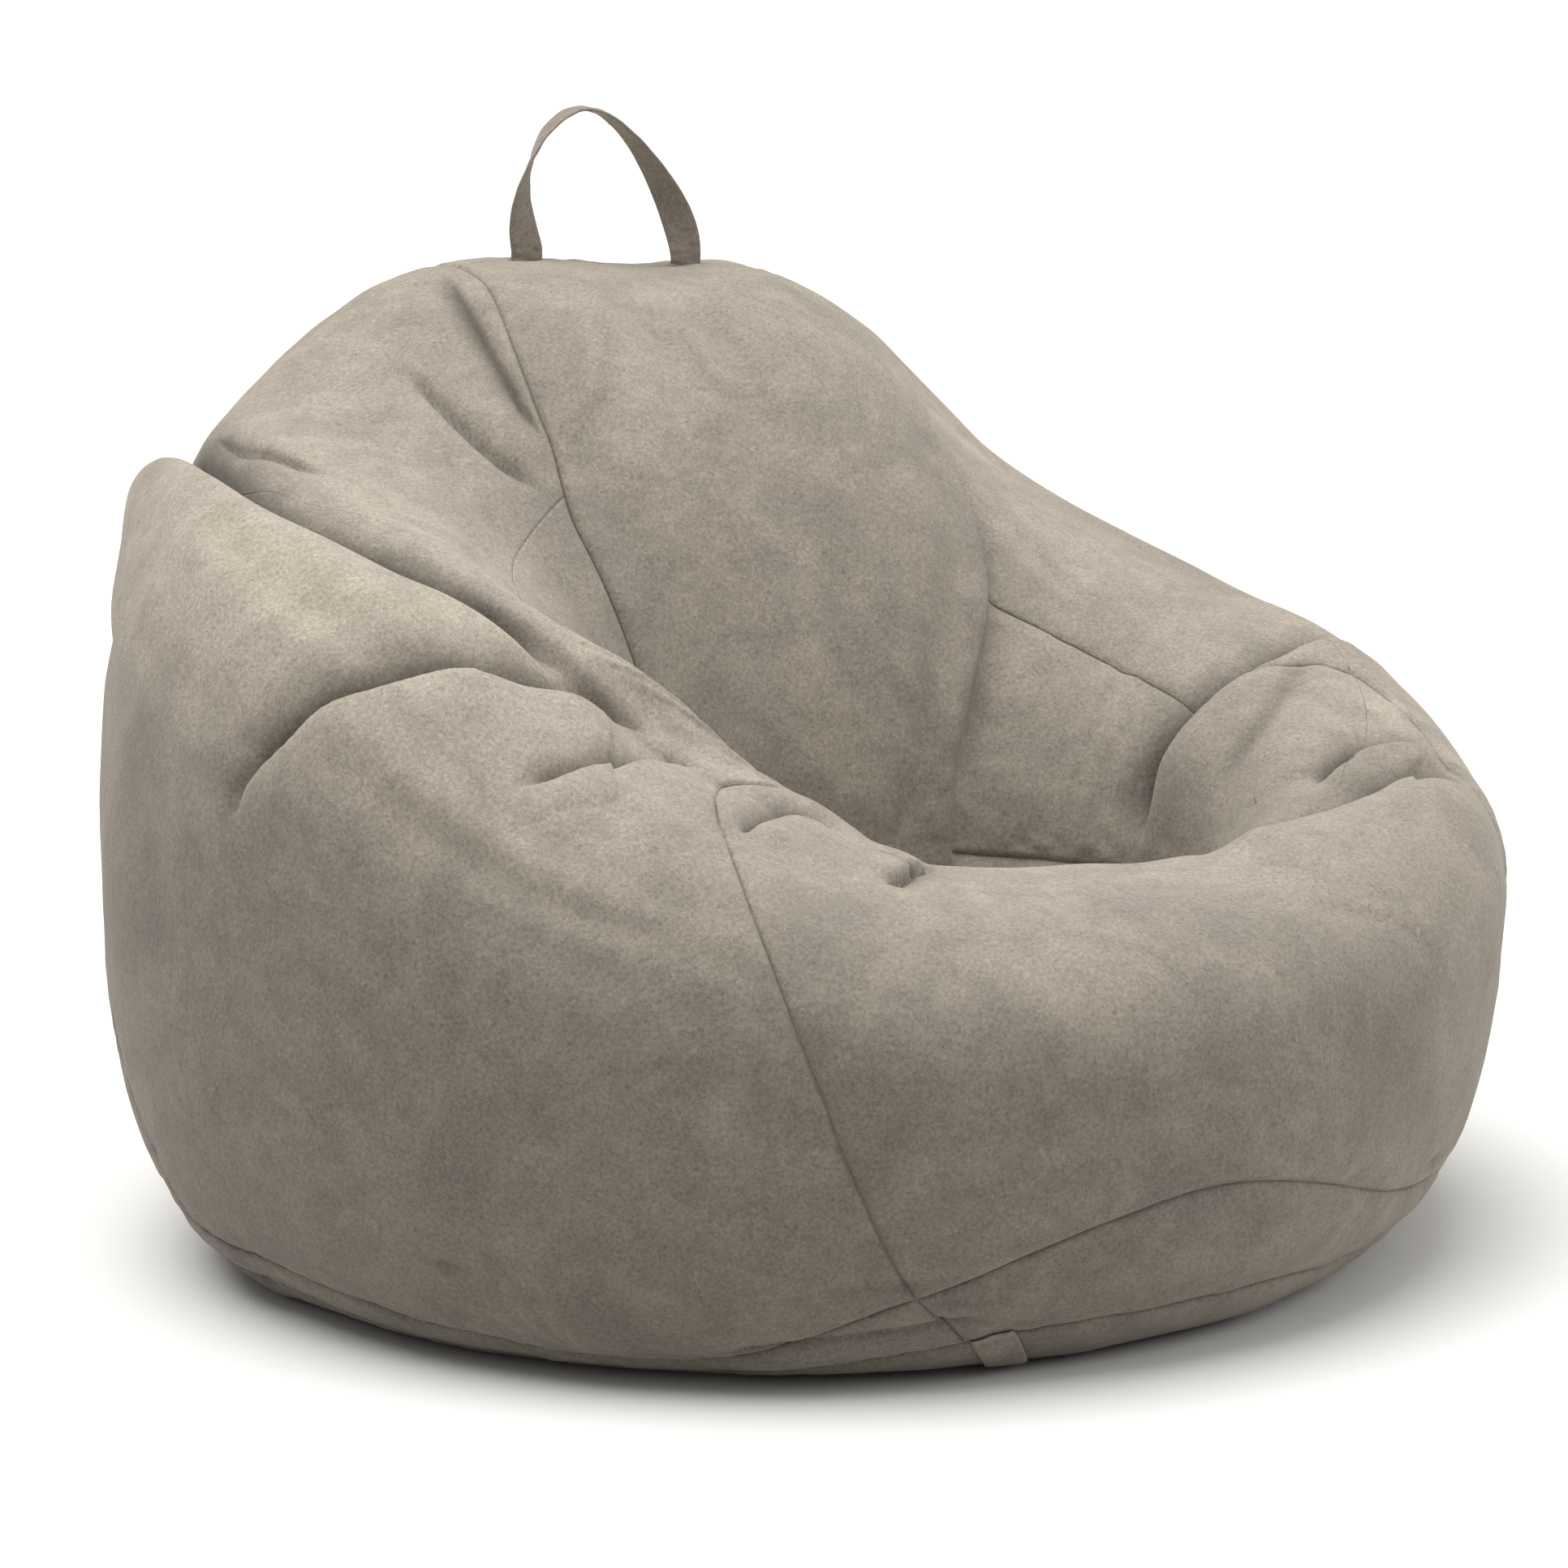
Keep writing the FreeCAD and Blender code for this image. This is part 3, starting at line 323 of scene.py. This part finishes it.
def bump_at(angle, share, size, height):
    """Round swelling of a height, in mm, that dies away as exp(-(distance / size)^2)."""
    centre = bag_point(np.array([float(angle)]), np.array([float(share)]))[0]
    return height * np.exp(-(np.linalg.norm(plain - centre, axis=-1) / size) ** 2)


# Fullness of the panels between their seams, and the groove that each seam pulls in.
push = -3.0 * np.exp(-seam_gap / 20.0) - 2.2 * np.exp(-(seam_gap / 2.6) ** 2)
slide = np.zeros(plain.shape)
valley = np.zeros(T.shape)
for name, places, *sizes in FOLDS:
    one_push, one_slide = fold(places, *sizes)
    push += one_push
    slide += one_slide
    valley = np.maximum(valley, -one_push)

# The backrest panel stands proud of the side panels; the right one is drawn in beside it.
backrest = smooth(L, 2.05, 2.3) * (1 - smooth(L, 2.7, 3.1))
right_gap = seam_distance("column", 150, BAND_LEVEL, SEAT_LEVEL)
BACKREST_PROUD, SIDE_RECESS = 8, 16
proud = BACKREST_PROUD * np.exp(-right_gap / 90) * (1 - np.exp(-right_gap / 10))
recess = SIDE_RECESS * np.exp(-right_gap / 40) * (1 - np.exp(-right_gap / 5))
push += backrest * np.where((T > 150) & (T < 215), proud, 0.0)
push -= backrest * np.where((T > 95) & (T <= 150), recess, 0.0)

# The tips of the two arms are fuller than the rings make them.
push += bump_at(247, 1.58, 55, 13) + bump_at(64, 1.45, 60, 5)

# Drape lines: long soft ridges on the backrest, fanned waves on the arms, puckers by the seams.
fan = np.stack([T * 5.2, L * 60.0], -1)
push += 3.4 * waves(fan, 62, 3) * backrest * np.where((T > 150) & (T < 215), 1, 0.35)
arm = (smooth(ANGLE, 232, 262) * (1 - smooth(ANGLE, 318, 345))
       * smooth(L, 0.9, 1.4) * (1 - smooth(L, 2.2, 2.6)))
push += 2.2 * waves(np.stack([ANGLE * 2.0 + L * 120, L * 420.0 + ANGLE * 0.8], -1), 75, 5) * arm
push += 1.3 * waves(plain, 150, 7) + 0.5 * waves(plain, 60, 8)
push += 1.5 * waves(plain, 19, 9) * np.exp(-seam_gap / 16.0) * (1 - np.exp(-(seam_gap / 5.0) ** 2))

# Flat strips where the two zips are sewn in: nothing may rise over their tapes.
behind = np.minimum(smooth(T, 136, 144), 1 - smooth(T, 216, 224))
zip_line = seam_distance("row", BASE_LEVEL, 0, 360)
zip_strip = behind * (1 - smooth(zip_line, 17, 42))
push = push * (1 - zip_strip) - 0.4 * zip_strip
low = smooth(L, 0.0, 0.16)
push *= np.where(FLOOR[None, :], 0.0, low)
slide *= low[..., None]
cover = plain + OUT * push[..., None] + slide

# Painted light and shade as a factor on the colour: painted shade low on the front and left,
# painted light along the tops and most of all on the left arm, plain inside the hollow, painted
# shade in the folds.
facing = 0.5 + 0.5 * np.cos(np.radians(ANGLE - 305))
painted_light_and_shade = (1.0 - 0.34 * (1 - smooth(SHARE, 1.0, 1.75)) * smooth(facing, 0.1, 0.85)
            + 0.16 * smooth(SHARE, 1.45, 1.95) - 0.16 * smooth(L, 2.1, 2.5)
            + 0.36 * np.exp(-((ANGLE - 283) / 34) ** 2) * smooth(SHARE, 1.2, 1.7))
# painted shade: the deeper a fold's valley, the darker its colour
painted_light_and_shade *= 1 - 0.7 * np.clip(valley / 16.0, 0, 1) ** 0.7
cover[..., 2] = np.maximum(cover[..., 2], 0.0)
cover /= 1000.0


def grid_mesh(name, points, cells, tops=()):
    """Mesh of the chosen four-sided cells of a grid.  A cell joins two columns and two rows; at
    the rows in tops, which are single points, a cell is a triangle."""
    columns, rows = points.shape[:2]
    index = np.arange(columns * rows).reshape(columns, rows)
    for row in tops:
        index[:, row] = index[0, row]
    beyond = np.roll(index, -1, 0)
    quads = np.stack([index[:, :-1], beyond[:, :-1], beyond[:, 1:], index[:, 1:]], -1)[cells]
    kept, quads = np.unique(quads, return_inverse=True)
    quads = quads.reshape(-1, 4)
    low, high = quads[:, 0] == quads[:, 1], quads[:, 2] == quads[:, 3]
    faces = (quads[~low & ~high].tolist() + quads[low][:, 1:].tolist()
             + quads[high][:, :3].tolist())
    mesh = bpy.data.meshes.new(name)
    mesh.from_pydata(points.reshape(-1, 3)[kept].tolist(), [], faces)
    mesh.polygons.foreach_set("use_smooth", np.ones(len(faces), bool))
    mesh.update()
    return mesh, kept


def place(name, mesh, body, *nodes):
    """Put a mesh in the scene as a piece that rides on a body and stands for some CAD nodes."""
    piece = bpy.data.objects.new(name, mesh)
    bpy.context.scene.collection.objects.link(piece)
    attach(piece, body)
    if nodes:
        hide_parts(*nodes)
    return piece


# ---------------------------------------------------------------------------------------------
# Cover panels.  Nine pieces of brushed polyester faux suede, 1.2 mm thick, cut to shape and sewn
# edge to edge with plain seams turned to the inside, so each joint shows only as a fine groove.


def add(tree, kind, inputs=(), links=(), **settings):
    """One node with its settings, input values and links (input, node, output)."""
    node = tree.nodes.new(kind)
    for name, value in settings.items():
        setattr(node, name, value)
    for name, value in dict(inputs).items():
        node.inputs[name].default_value = value
    for name, source, output in links:
        tree.links.new(source.outputs[output], node.inputs[name])
    return node


def shade(text):
    """sRGB hex to linear: divide by 12.92 near black, else ((c + 0.055) / 1.055) to the 2.4."""
    values = [int(text[k:k + 2], 16) / 255 for k in (1, 3, 5)]
    return [v / 12.92 if v <= 0.04045 else ((v + 0.055) / 1.055) ** 2.4 for v in values] + [1.0]


def suede(name, tones, nap_mm=2.6, with_painted_light=False):
    """Brushed faux suede: cloudy colour from the way the nap lies, over a short curly grain.  With
    with_painted_light set, the mesh's nap attribute, painted light and shade, scales the colour."""
    material = bpy.data.materials.new(name)
    material.use_nodes = True
    tree = material.node_tree
    shader = tree.nodes["Principled BSDF"]
    shader.inputs["Roughness"].default_value = 0.92
    shader.inputs["Specular IOR Level"].default_value = 0.2
    shader.inputs["Sheen Weight"].default_value = 0.25
    shader.inputs["Sheen Roughness"].default_value = 0.55
    shader.inputs["Sheen Tint"].default_value = shade("#d9d2c8")
    where = add(tree, "ShaderNodeTexCoord")

    def cloud(scale, detail, rough, distortion, shift):
        moved = add(tree, "ShaderNodeMapping", {"Location": shift}, [("Vector", where, "Object")])
        return add(tree, "ShaderNodeTexNoise",
                   {"Scale": scale, "Detail": detail, "Roughness": rough, "Distortion": distortion},
                   [("Vector", moved, "Vector")])

    big = cloud(8.0, 4.0, 0.55, 0.5, (0.3, 0.1, 0.7))
    ramp = add(tree, "ShaderNodeValToRGB", links=[("Fac", big, "Fac")])
    stops = ramp.color_ramp.elements
    for k, (at, tone) in enumerate(zip((0.30, 0.43, 0.50, 0.57, 0.70), tones)):
        element = stops[k] if k < 2 else stops.new(at)
        element.position = at
        element.color = shade(tone)
    middle = cloud(34.0, 5.0, 0.62, 0.8, (0.0, 0.4, 0.2))
    patch = add(tree, "ShaderNodeMapRange",
                {"From Min": 0.3, "From Max": 0.7, "To Min": 0.90, "To Max": 1.09},
                [("Value", middle, "Fac")])
    grain = cloud(1000.0 / nap_mm, 4.0, 0.7, 0.6, (0.1, 0.2, 0.3))
    fine = add(tree, "ShaderNodeMapRange",
               {"From Min": 0.3, "From Max": 0.7, "To Min": 0.66, "To Max": 1.32},
               [("Value", grain, "Fac")])
    both = add(tree, "ShaderNodeMath", links=[(0, patch, "Result"), (1, fine, "Result")],
               operation="MULTIPLY")
    # painted light and shade: the mesh's nap attribute scales the colour
    if with_painted_light:
        painted_light_factor = add(tree, "ShaderNodeAttribute", attribute_name="nap")
        both = add(tree, "ShaderNodeMath", links=[(0, both, "Value"), (1, painted_light_factor, "Fac")],
                   operation="MULTIPLY")
    tinted = add(tree, "ShaderNodeVectorMath", operation="SCALE",
                 links=[("Vector", ramp, "Color"), ("Scale", both, "Value")])
    tree.links.new(tinted.outputs["Vector"], shader.inputs["Base Color"])
    crease = cloud(70.0, 3.0, 0.5, 0.4, (0.5, 0.0, 0.1))
    soft = add(tree, "ShaderNodeBump", {"Strength": 0.5, "Distance": 0.0018},
               [("Height", crease, "Fac")])
    nap = add(tree, "ShaderNodeBump", {"Strength": 0.55, "Distance": 0.0006},
              [("Height", grain, "Fac"), ("Normal", soft, "Normal")])
    tree.links.new(nap.outputs["Normal"], shader.inputs["Normal"])
    return material


COVER_THICK = 0.0012
cover_suede = suede("brushed_faux_suede",
                    ("#746d65", "#7c756a", "#837b70", "#7b746a", "#8a8276"), with_painted_light=True)

def paint_light_and_shade(mesh, values):
    """Give every point of a mesh its own painted light-and-shade factor, kept as its nap attribute.
    """
    mesh.attributes.new("nap", "FLOAT", "POINT").data.foreach_set("value", values)


MIDDLE_T = (T + (np.roll(T, -1, 0) - T) % 360 / 2)[:, :-1]
MIDDLE_L = (L[:, :-1] + L[:, 1:]) / 2
CUTS = {
    "front_right_panel": [(0, 80, BAND_LEVEL, SEAT_LEVEL), (80, 150, ARM_LEVEL, SEAT_LEVEL)],
    "front_left_panel": [(270, 360, BAND_LEVEL, SEAT_LEVEL), (215, 270, ARM_LEVEL, SEAT_LEVEL)],
    "side_right_panel": [(80, 150, BAND_LEVEL, ARM_LEVEL)],
    "side_left_panel": [(215, 270, BAND_LEVEL, ARM_LEVEL)],
    "rear_panel": [(150, 215, BAND_LEVEL, TOP_LEVEL)],
    "backrest_seat_panel": [(150, 215, TOP_LEVEL, SEAT_LEVEL), (0, 360, SEAT_LEVEL, 5)],
    "base_band_right": [(0, 180, BASE_LEVEL, BAND_LEVEL)],
    "base_band_left": [(180, 360, BASE_LEVEL, BAND_LEVEL)],
    "base_panel": [(0, 360, -1, BASE_LEVEL)],
}
for node, blocks in CUTS.items():
    cells = np.zeros(MIDDLE_T.shape, bool)
    for turn_low, turn_high, level_low, level_high in blocks:
        cells |= ((MIDDLE_T > turn_low) & (MIDDLE_T < turn_high)
                  & (MIDDLE_L > level_low) & (MIDDLE_L < level_high))
    mesh, kept = grid_mesh(node + "_cloth", cover, cells, (0, len(levels) - 1))
    mesh.materials.append(cover_suede)
    # painted light and shade on the panel colour, point by point
    paint_light_and_shade(mesh, painted_light_and_shade.reshape(-1)[kept])
    panel = place(node + "_cloth", mesh, "bag", node)
    wall = panel.modifiers.new("cloth thickness", "SOLIDIFY")
    wall.thickness = COVER_THICK
    wall.offset = -1

# ---------------------------------------------------------------------------------------------
# Seam tab.  A short folded strip of the cover suede, sewn over the front end of the base seam.

# The last of these is painted shade, a factor that darkens the tab's colour.
TAB_LIFT, TAB_THICK, TAB_EDGE, TAB_PAINTED_SHADE = 0.0018, 0.0026, 0.12, 0.8
tab_turns = np.linspace(0.5, 5.0, 24)
tab_levels = np.linspace(0.12, 0.34, 20)


def closed_pad(name, middle, out, thickness, edge):
    """Flat pad on a grid of middle points: the top and bottom skins bulge apart by the thickness
    and meet along the rim, where the half-thickness falls as the root of 1 - (1 - d)^2 over the
    edge width, d being the grid distance to the rim."""
    rows, columns = middle.shape[:2]
    u, v = np.meshgrid(np.linspace(0, 1, rows), np.linspace(0, 1, columns), indexing="ij")
    rim = np.clip(np.minimum(np.minimum(u, 1 - u), np.minimum(v, 1 - v)) / edge, 0, 1)
    half = thickness / 2 * np.sqrt(np.maximum(1 - (1 - rim) ** 2, 0))[..., None]
    top, under = middle + out * half, middle - out * half
    count = rows * columns
    index = np.arange(count).reshape(rows, columns)
    lower = index + count
    ring = (rim <= 0)
    lower[ring] = index[ring]
    faces = []
    for grid, turned in ((index, False), (lower, True)):
        quads = np.stack([grid[:-1, :-1], grid[1:, :-1], grid[1:, 1:], grid[:-1, 1:]], -1)
        quads = quads.reshape(-1, 4)
        faces.append(quads[:, ::-1] if turned else quads)
    faces = np.concatenate(faces)
    points = np.concatenate([top.reshape(-1, 3), under.reshape(-1, 3)])
    kept, faces = np.unique(faces, return_inverse=True)
    mesh = bpy.data.meshes.new(name)
    mesh.from_pydata(points[kept].tolist(), [], faces.reshape(-1, 4).tolist())
    mesh.polygons.foreach_set("use_smooth", np.ones(len(mesh.polygons), bool))
    mesh.update()
    return mesh


def on_cover(grid, turn, level):
    """Value of a grid of the cover at pattern angles and levels, read between its four nearest
    points."""
    i = np.interp(turn, np.append(turns, 360.0), np.arange(len(turns) + 1))
    j = np.interp(level, levels, np.arange(len(levels)))
    i0, j0 = np.floor(i).astype(int), np.minimum(np.floor(j).astype(int), len(levels) - 2)
    a, b = (i - i0)[..., None], (j - j0)[..., None]
    i0, i1 = i0 % len(turns), (i0 + 1) % len(turns)
    return ((grid[i0, j0] * (1 - a) + grid[i1, j0] * a) * (1 - b)
            + (grid[i0, j0 + 1] * (1 - a) + grid[i1, j0 + 1] * a) * b)


TT, TL = np.meshgrid(tab_turns, tab_levels, indexing="ij")
tab_out = on_cover(OUT, TT, TL)
tab_middle = on_cover(cover, TT, TL) + tab_out * TAB_LIFT
tab_mesh = closed_pad("seam_tab_cloth", tab_middle, tab_out, TAB_THICK, TAB_EDGE)
tab_mesh.materials.append(cover_suede)
# painted shade: the tab's colour is darkened by a fixed factor, like the cover low on the front
paint_light_and_shade(tab_mesh, np.full(len(tab_mesh.vertices), TAB_PAINTED_SHADE))
tab = place("seam_tab_cloth", tab_mesh, "bag", "seam_tab")

# ---------------------------------------------------------------------------------------------
# Carry loop.  A 25 mm strap of the same suede folded double, both ends caught in the top seam.
# It stands up edge-on at the left, crosses over flat at the top and shows its underside at right.

STRAP_WIDTH, STRAP_THICK, LOOP_HEIGHT = 0.025, 0.003, 0.107
LEFT_FOOT = np.array([-0.092, 0.316527, 0.669222])
RIGHT_FOOT = np.array([0.038, 0.324815, 0.661213])
# share of the way from foot to foot, share of the height, turn of the strap about its path
LOOP = np.array([(0.0, -0.09, 0), (0.0, 0.0, 0), (-.03, .16, 14), (-.04, .36, 40), (0, .60, 66),
                 (.09, .83, 84), (.25, .98, 90), (.42, .97, 90), (.60, .82, 84), (.76, .60, 68),
                 (.89, .36, 44), (.97, .15, 18), (1.0, 0.0, 0), (1.0, -0.09, 0)], float)
seam_way = RIGHT_FOOT - LEFT_FOOT
seam_dir = seam_way / np.linalg.norm(seam_way)
over = np.cross([0, 0, 1], seam_dir)
over /= np.linalg.norm(over)
rise = np.cross(seam_dir, over)
knots = np.arange(len(LOOP))
fine = np.linspace(0, len(LOOP) - 1, 181)
share, height, turned = (along(knots, LOOP[:, k], fine) for k in range(3))
path = LEFT_FOOT + share[:, None] * seam_way + (height * LOOP_HEIGHT)[:, None] * rise
forward = np.gradient(path, axis=0)
forward /= np.linalg.norm(forward, axis=1, keepdims=True)
# the strap's width, square to the path, swings from along the seam to across it and back
flat = np.cross(over, forward)
flat /= np.linalg.norm(flat, axis=1, keepdims=True)
turned = np.radians(turned)[:, None]
width_way = flat * np.cos(turned) + over * np.sin(turned)
thick_way = np.cross(forward, width_way)
# section: a flat bar with rounded edges, cosine and sine of the turn each raised to a power,
# with a faint gather along it
spin = np.linspace(0, 2 * np.pi, 48, endpoint=False)
cx = np.sign(np.cos(spin)) * np.abs(np.cos(spin)) ** 0.35
cy = np.sign(np.sin(spin)) * np.abs(np.sin(spin)) ** 0.8
gather = 0.00035 * np.sin(fine * 9.0)[:, None] * np.sin(3 * cx)[None, :]
loop_points = (path[:, None, :]
               + width_way[:, None, :] * (cx * STRAP_WIDTH / 2)[None, :, None]
               + thick_way[:, None, :] * ((cy * STRAP_THICK / 2)[None, :] + gather)[..., None])


def tube_mesh(name, rings):
    """Closed skin over rings of points along a path, each end closed by one flat face."""
    count, around_it = rings.shape[:2]
    index = np.arange(count * around_it).reshape(count, around_it)
    beyond = np.roll(index, -1, 1)
    quads = np.stack([index[:-1], beyond[:-1], beyond[1:], index[1:]], -1).reshape(-1, 4).tolist()
    mesh = bpy.data.meshes.new(name)
    ends = [index[0][::-1].tolist(), index[-1].tolist()]
    mesh.from_pydata(rings.reshape(-1, 3).tolist(), [], quads + ends)
    mesh.polygons.foreach_set("use_smooth", np.ones(len(mesh.polygons), bool))
    mesh.update()
    return mesh


# The strap is the same suede with a shorter nap, and it has no painted light and shade of its own.
strap_suede = suede("strap_faux_suede",
                    ("#746c65", "#7c736a", "#82796f", "#7c746a", "#887e74"), 2.2)
loop_mesh = tube_mesh("carry_handle_strap", loop_points)
loop_mesh.materials.append(strap_suede)
loop = place("carry_handle_strap", loop_mesh, "handle", "carry_handle")

# ---------------------------------------------------------------------------------------------
# Zip in the base seam.  Woven polyester tapes, a nylon coil, and a cast zinc slider with a
# stamped pull, left as they are made in the design and given their own finishes.


def finish_of(name, colour, second, scale, rough, metal, bump):
    """Two-tone procedural finish: a fine noise mixes two colours and lifts the surface a little."""
    material = bpy.data.materials.new(name)
    material.use_nodes = True
    tree = material.node_tree
    shader = tree.nodes["Principled BSDF"]
    shader.inputs["Metallic"].default_value = metal
    shader.inputs["Roughness"].default_value = rough
    where = add(tree, "ShaderNodeTexCoord")
    noise = add(tree, "ShaderNodeTexNoise", {"Scale": scale, "Detail": 3.0},
                [("Vector", where, "Object")])
    mix = add(tree, "ShaderNodeMix", data_type="RGBA")
    mix.inputs["A"].default_value = shade(colour)
    mix.inputs["B"].default_value = shade(second)
    tree.links.new(noise.outputs["Fac"], mix.inputs["Factor"])
    tree.links.new(mix.outputs["Result"], shader.inputs["Base Color"])
    lift = add(tree, "ShaderNodeBump", {"Strength": 0.4, "Distance": bump},
               [("Height", noise, "Fac")])
    tree.links.new(lift.outputs["Normal"], shader.inputs["Normal"])
    return material


# Woven tape, moulded nylon and bare cast zinc, each with a scale of about its own grain.
tape = finish_of("woven_polyester_tape", "#8a8175", "#6f675d", 1400, 0.85, 0.0, 0.0003)
coil = finish_of("nylon_coil", "#7d746a", "#6a6259", 500, 0.45, 0.0, 0.0002)
zinc = finish_of("cast_zinc_alloy", "#a7a6a3", "#8d8c8a", 300, 0.34, 1.0, 0.0001)
for node, material, slot in (
        ("zip_tape_upper", tape, "zip_tape"), ("zip_tape_lower", tape, "zip_tape"),
        ("liner_zip_tape_upper", tape, "zip_tape"), ("liner_zip_tape_lower", tape, "zip_tape"),
        ("zip_coil", coil, "zip_coil"), ("liner_zip_coil", coil, "zip_coil"),
        ("zip_stop_left", zinc, "zip_metal"), ("zip_stop_right", zinc, "zip_metal"),
        ("zip_slider", zinc, "zip_metal"), ("zip_pull", zinc, "zip_metal"),
        ("liner_zip_slider", zinc, "zip_metal")):
    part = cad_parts[node]
    part.data.materials.clear()
    part.data.materials.append(material)

# ---------------------------------------------------------------------------------------------
# Liner and beads.  A plain woven polyester bag 8 mm inside the cover holds the loose fill, white
# expanded-polystyrene beads of 3 to 5 mm that lie together as one soft mass.

LINER_ZIP_SHARE = 0.72
liner_line = np.abs(SHARE - LINER_ZIP_SHARE)
liner_strip = behind * (1 - smooth(liner_line, 0.10, 0.22))
thin = np.arange(0, len(turns), 2)
rows = np.append(np.arange(0, len(levels) - 1, 2), len(levels) - 1)
LINER_DEPTH, FILL_DEPTH, LINER_THICK = 8.0, 9.3, 0.0008
for name, depth, node, slot in (
        ("inner_liner_cloth", LINER_DEPTH, "inner_liner", "liner_cloth"),
        ("bead_fill_mass", FILL_DEPTH, "bead_fill", "bead_foam")):
    inside = plain + OUT * (push * (1 - liner_strip) * (1 - zip_strip) - depth)[..., None]
    inside[..., 2] = np.maximum(inside[..., 2], depth)
    inside = inside[np.ix_(thin, rows)] / 1000.0
    cells = np.ones((len(thin), len(rows) - 1), bool)
    mesh, _ = grid_mesh(name, inside, cells, (0, len(rows) - 1))
    if slot == "liner_cloth":
        material = finish_of("woven_polyester_lining", "#e6e3dc", "#d4d0c7", 1600, 0.8, 0.0, 0.0002)
    else:
        material = finish_of("expanded_polystyrene_beads", "#f4f4f1", "#dedfdc",
                             260, 0.7, 0.0, 0.002)
    mesh.materials.append(material)
    piece = place(name, mesh, "bag", node)
    if slot == "liner_cloth":
        wall = piece.modifiers.new("cloth thickness", "SOLIDIFY")
        wall.thickness = LINER_THICK
        wall.offset = -1

# ---------------------------------------------------------------------------------------------
# Studio.  A pale floor, one wide soft light almost straight above, and a weaker square one from
# the front right.

floor_mesh = bpy.data.meshes.new("studio_floor")
floor_mesh.from_pydata([(-30, -30, 0), (30, -30, 0), (30, 30, 0), (-30, 30, 0)], [], [(0, 1, 2, 3)])
floor = bpy.data.objects.new("studio_floor", floor_mesh)
floor.location.z = -0.0005
bpy.context.scene.collection.objects.link(floor)
paper = bpy.data.materials.new("pale_matt_paper")
paper.use_nodes = True
paper.node_tree.nodes["Principled BSDF"].inputs["Base Color"].default_value = shade("#d6d5d3")
paper.node_tree.nodes["Principled BSDF"].inputs["Roughness"].default_value = 0.95
floor_mesh.materials.append(paper)

key = bpy.data.lights.new("right_front", "AREA")
key.size, key.energy = 1.8, 46
roof = bpy.data.lights.new("overhead", "SUN")
roof.angle, roof.energy = np.radians(55), 3.9
for data, at in ((key, (2.6, -2.2, 2.0)), (roof, (-0.7, 0.0, 3.0))):
    lamp = bpy.data.objects.new(data.name, data)
    lamp.location = at
    lamp.rotation_euler = (Vector((0, 0, 0.35)) - Vector(at)).to_track_quat("-Z", "Y").to_euler()
    bpy.context.scene.collection.objects.link(lamp)

# The room is a pale tent: bright overhead, dimmer towards the walls, white where it is looked at.
world = bpy.data.worlds.new("studio")
world.use_nodes = True
sky = world.node_tree
for old in list(sky.nodes):
    sky.nodes.remove(old)
up = add(sky, "ShaderNodeTexCoord")
split = add(sky, "ShaderNodeSeparateXYZ", links=[("Vector", up, "Generated")])
glow = add(sky, "ShaderNodeMapRange",
           {"From Min": -0.1, "From Max": 0.9, "To Min": 0.02, "To Max": 0.85},
           [("Value", split, "Z")])
tent = add(sky, "ShaderNodeBackground", {"Color": (1.0, 0.995, 0.985, 1.0)},
           [("Strength", glow, "Result")])
backdrop = add(sky, "ShaderNodeBackground", {"Color": (1.0, 1.0, 1.0, 1.0), "Strength": 1.0})
looked = add(sky, "ShaderNodeLightPath")
mix = add(sky, "ShaderNodeMixShader", links=[("Fac", looked, "Is Camera Ray")])
sky.links.new(tent.outputs[0], mix.inputs[1])
sky.links.new(backdrop.outputs[0], mix.inputs[2])
add(sky, "ShaderNodeOutputWorld", links=[("Surface", mix, 0)])
bpy.context.scene.world = world
bpy.context.scene.view_settings.view_transform = "Standard"

CAMERA_DISTANCE = 3.5
camera_data = bpy.data.cameras.new("camera")
camera_data.sensor_width = 36.0
camera_data.lens = 113.3
camera_data.shift_x, camera_data.shift_y = -0.0098, -0.0145
camera = bpy.data.objects.new("camera", camera_data)
azimuth, elevation = np.radians(-22.0), np.radians(11.0)
target = Vector((0.0, 0.0, 0.33))
away = Vector((np.sin(azimuth) * np.cos(elevation), -np.cos(azimuth) * np.cos(elevation),
               np.sin(elevation)))
camera.location = target + CAMERA_DISTANCE * away
camera.rotation_euler = (-away).to_track_quat("-Z", "Y").to_euler()
bpy.context.scene.collection.objects.link(camera)
bpy.context.scene.camera = camera
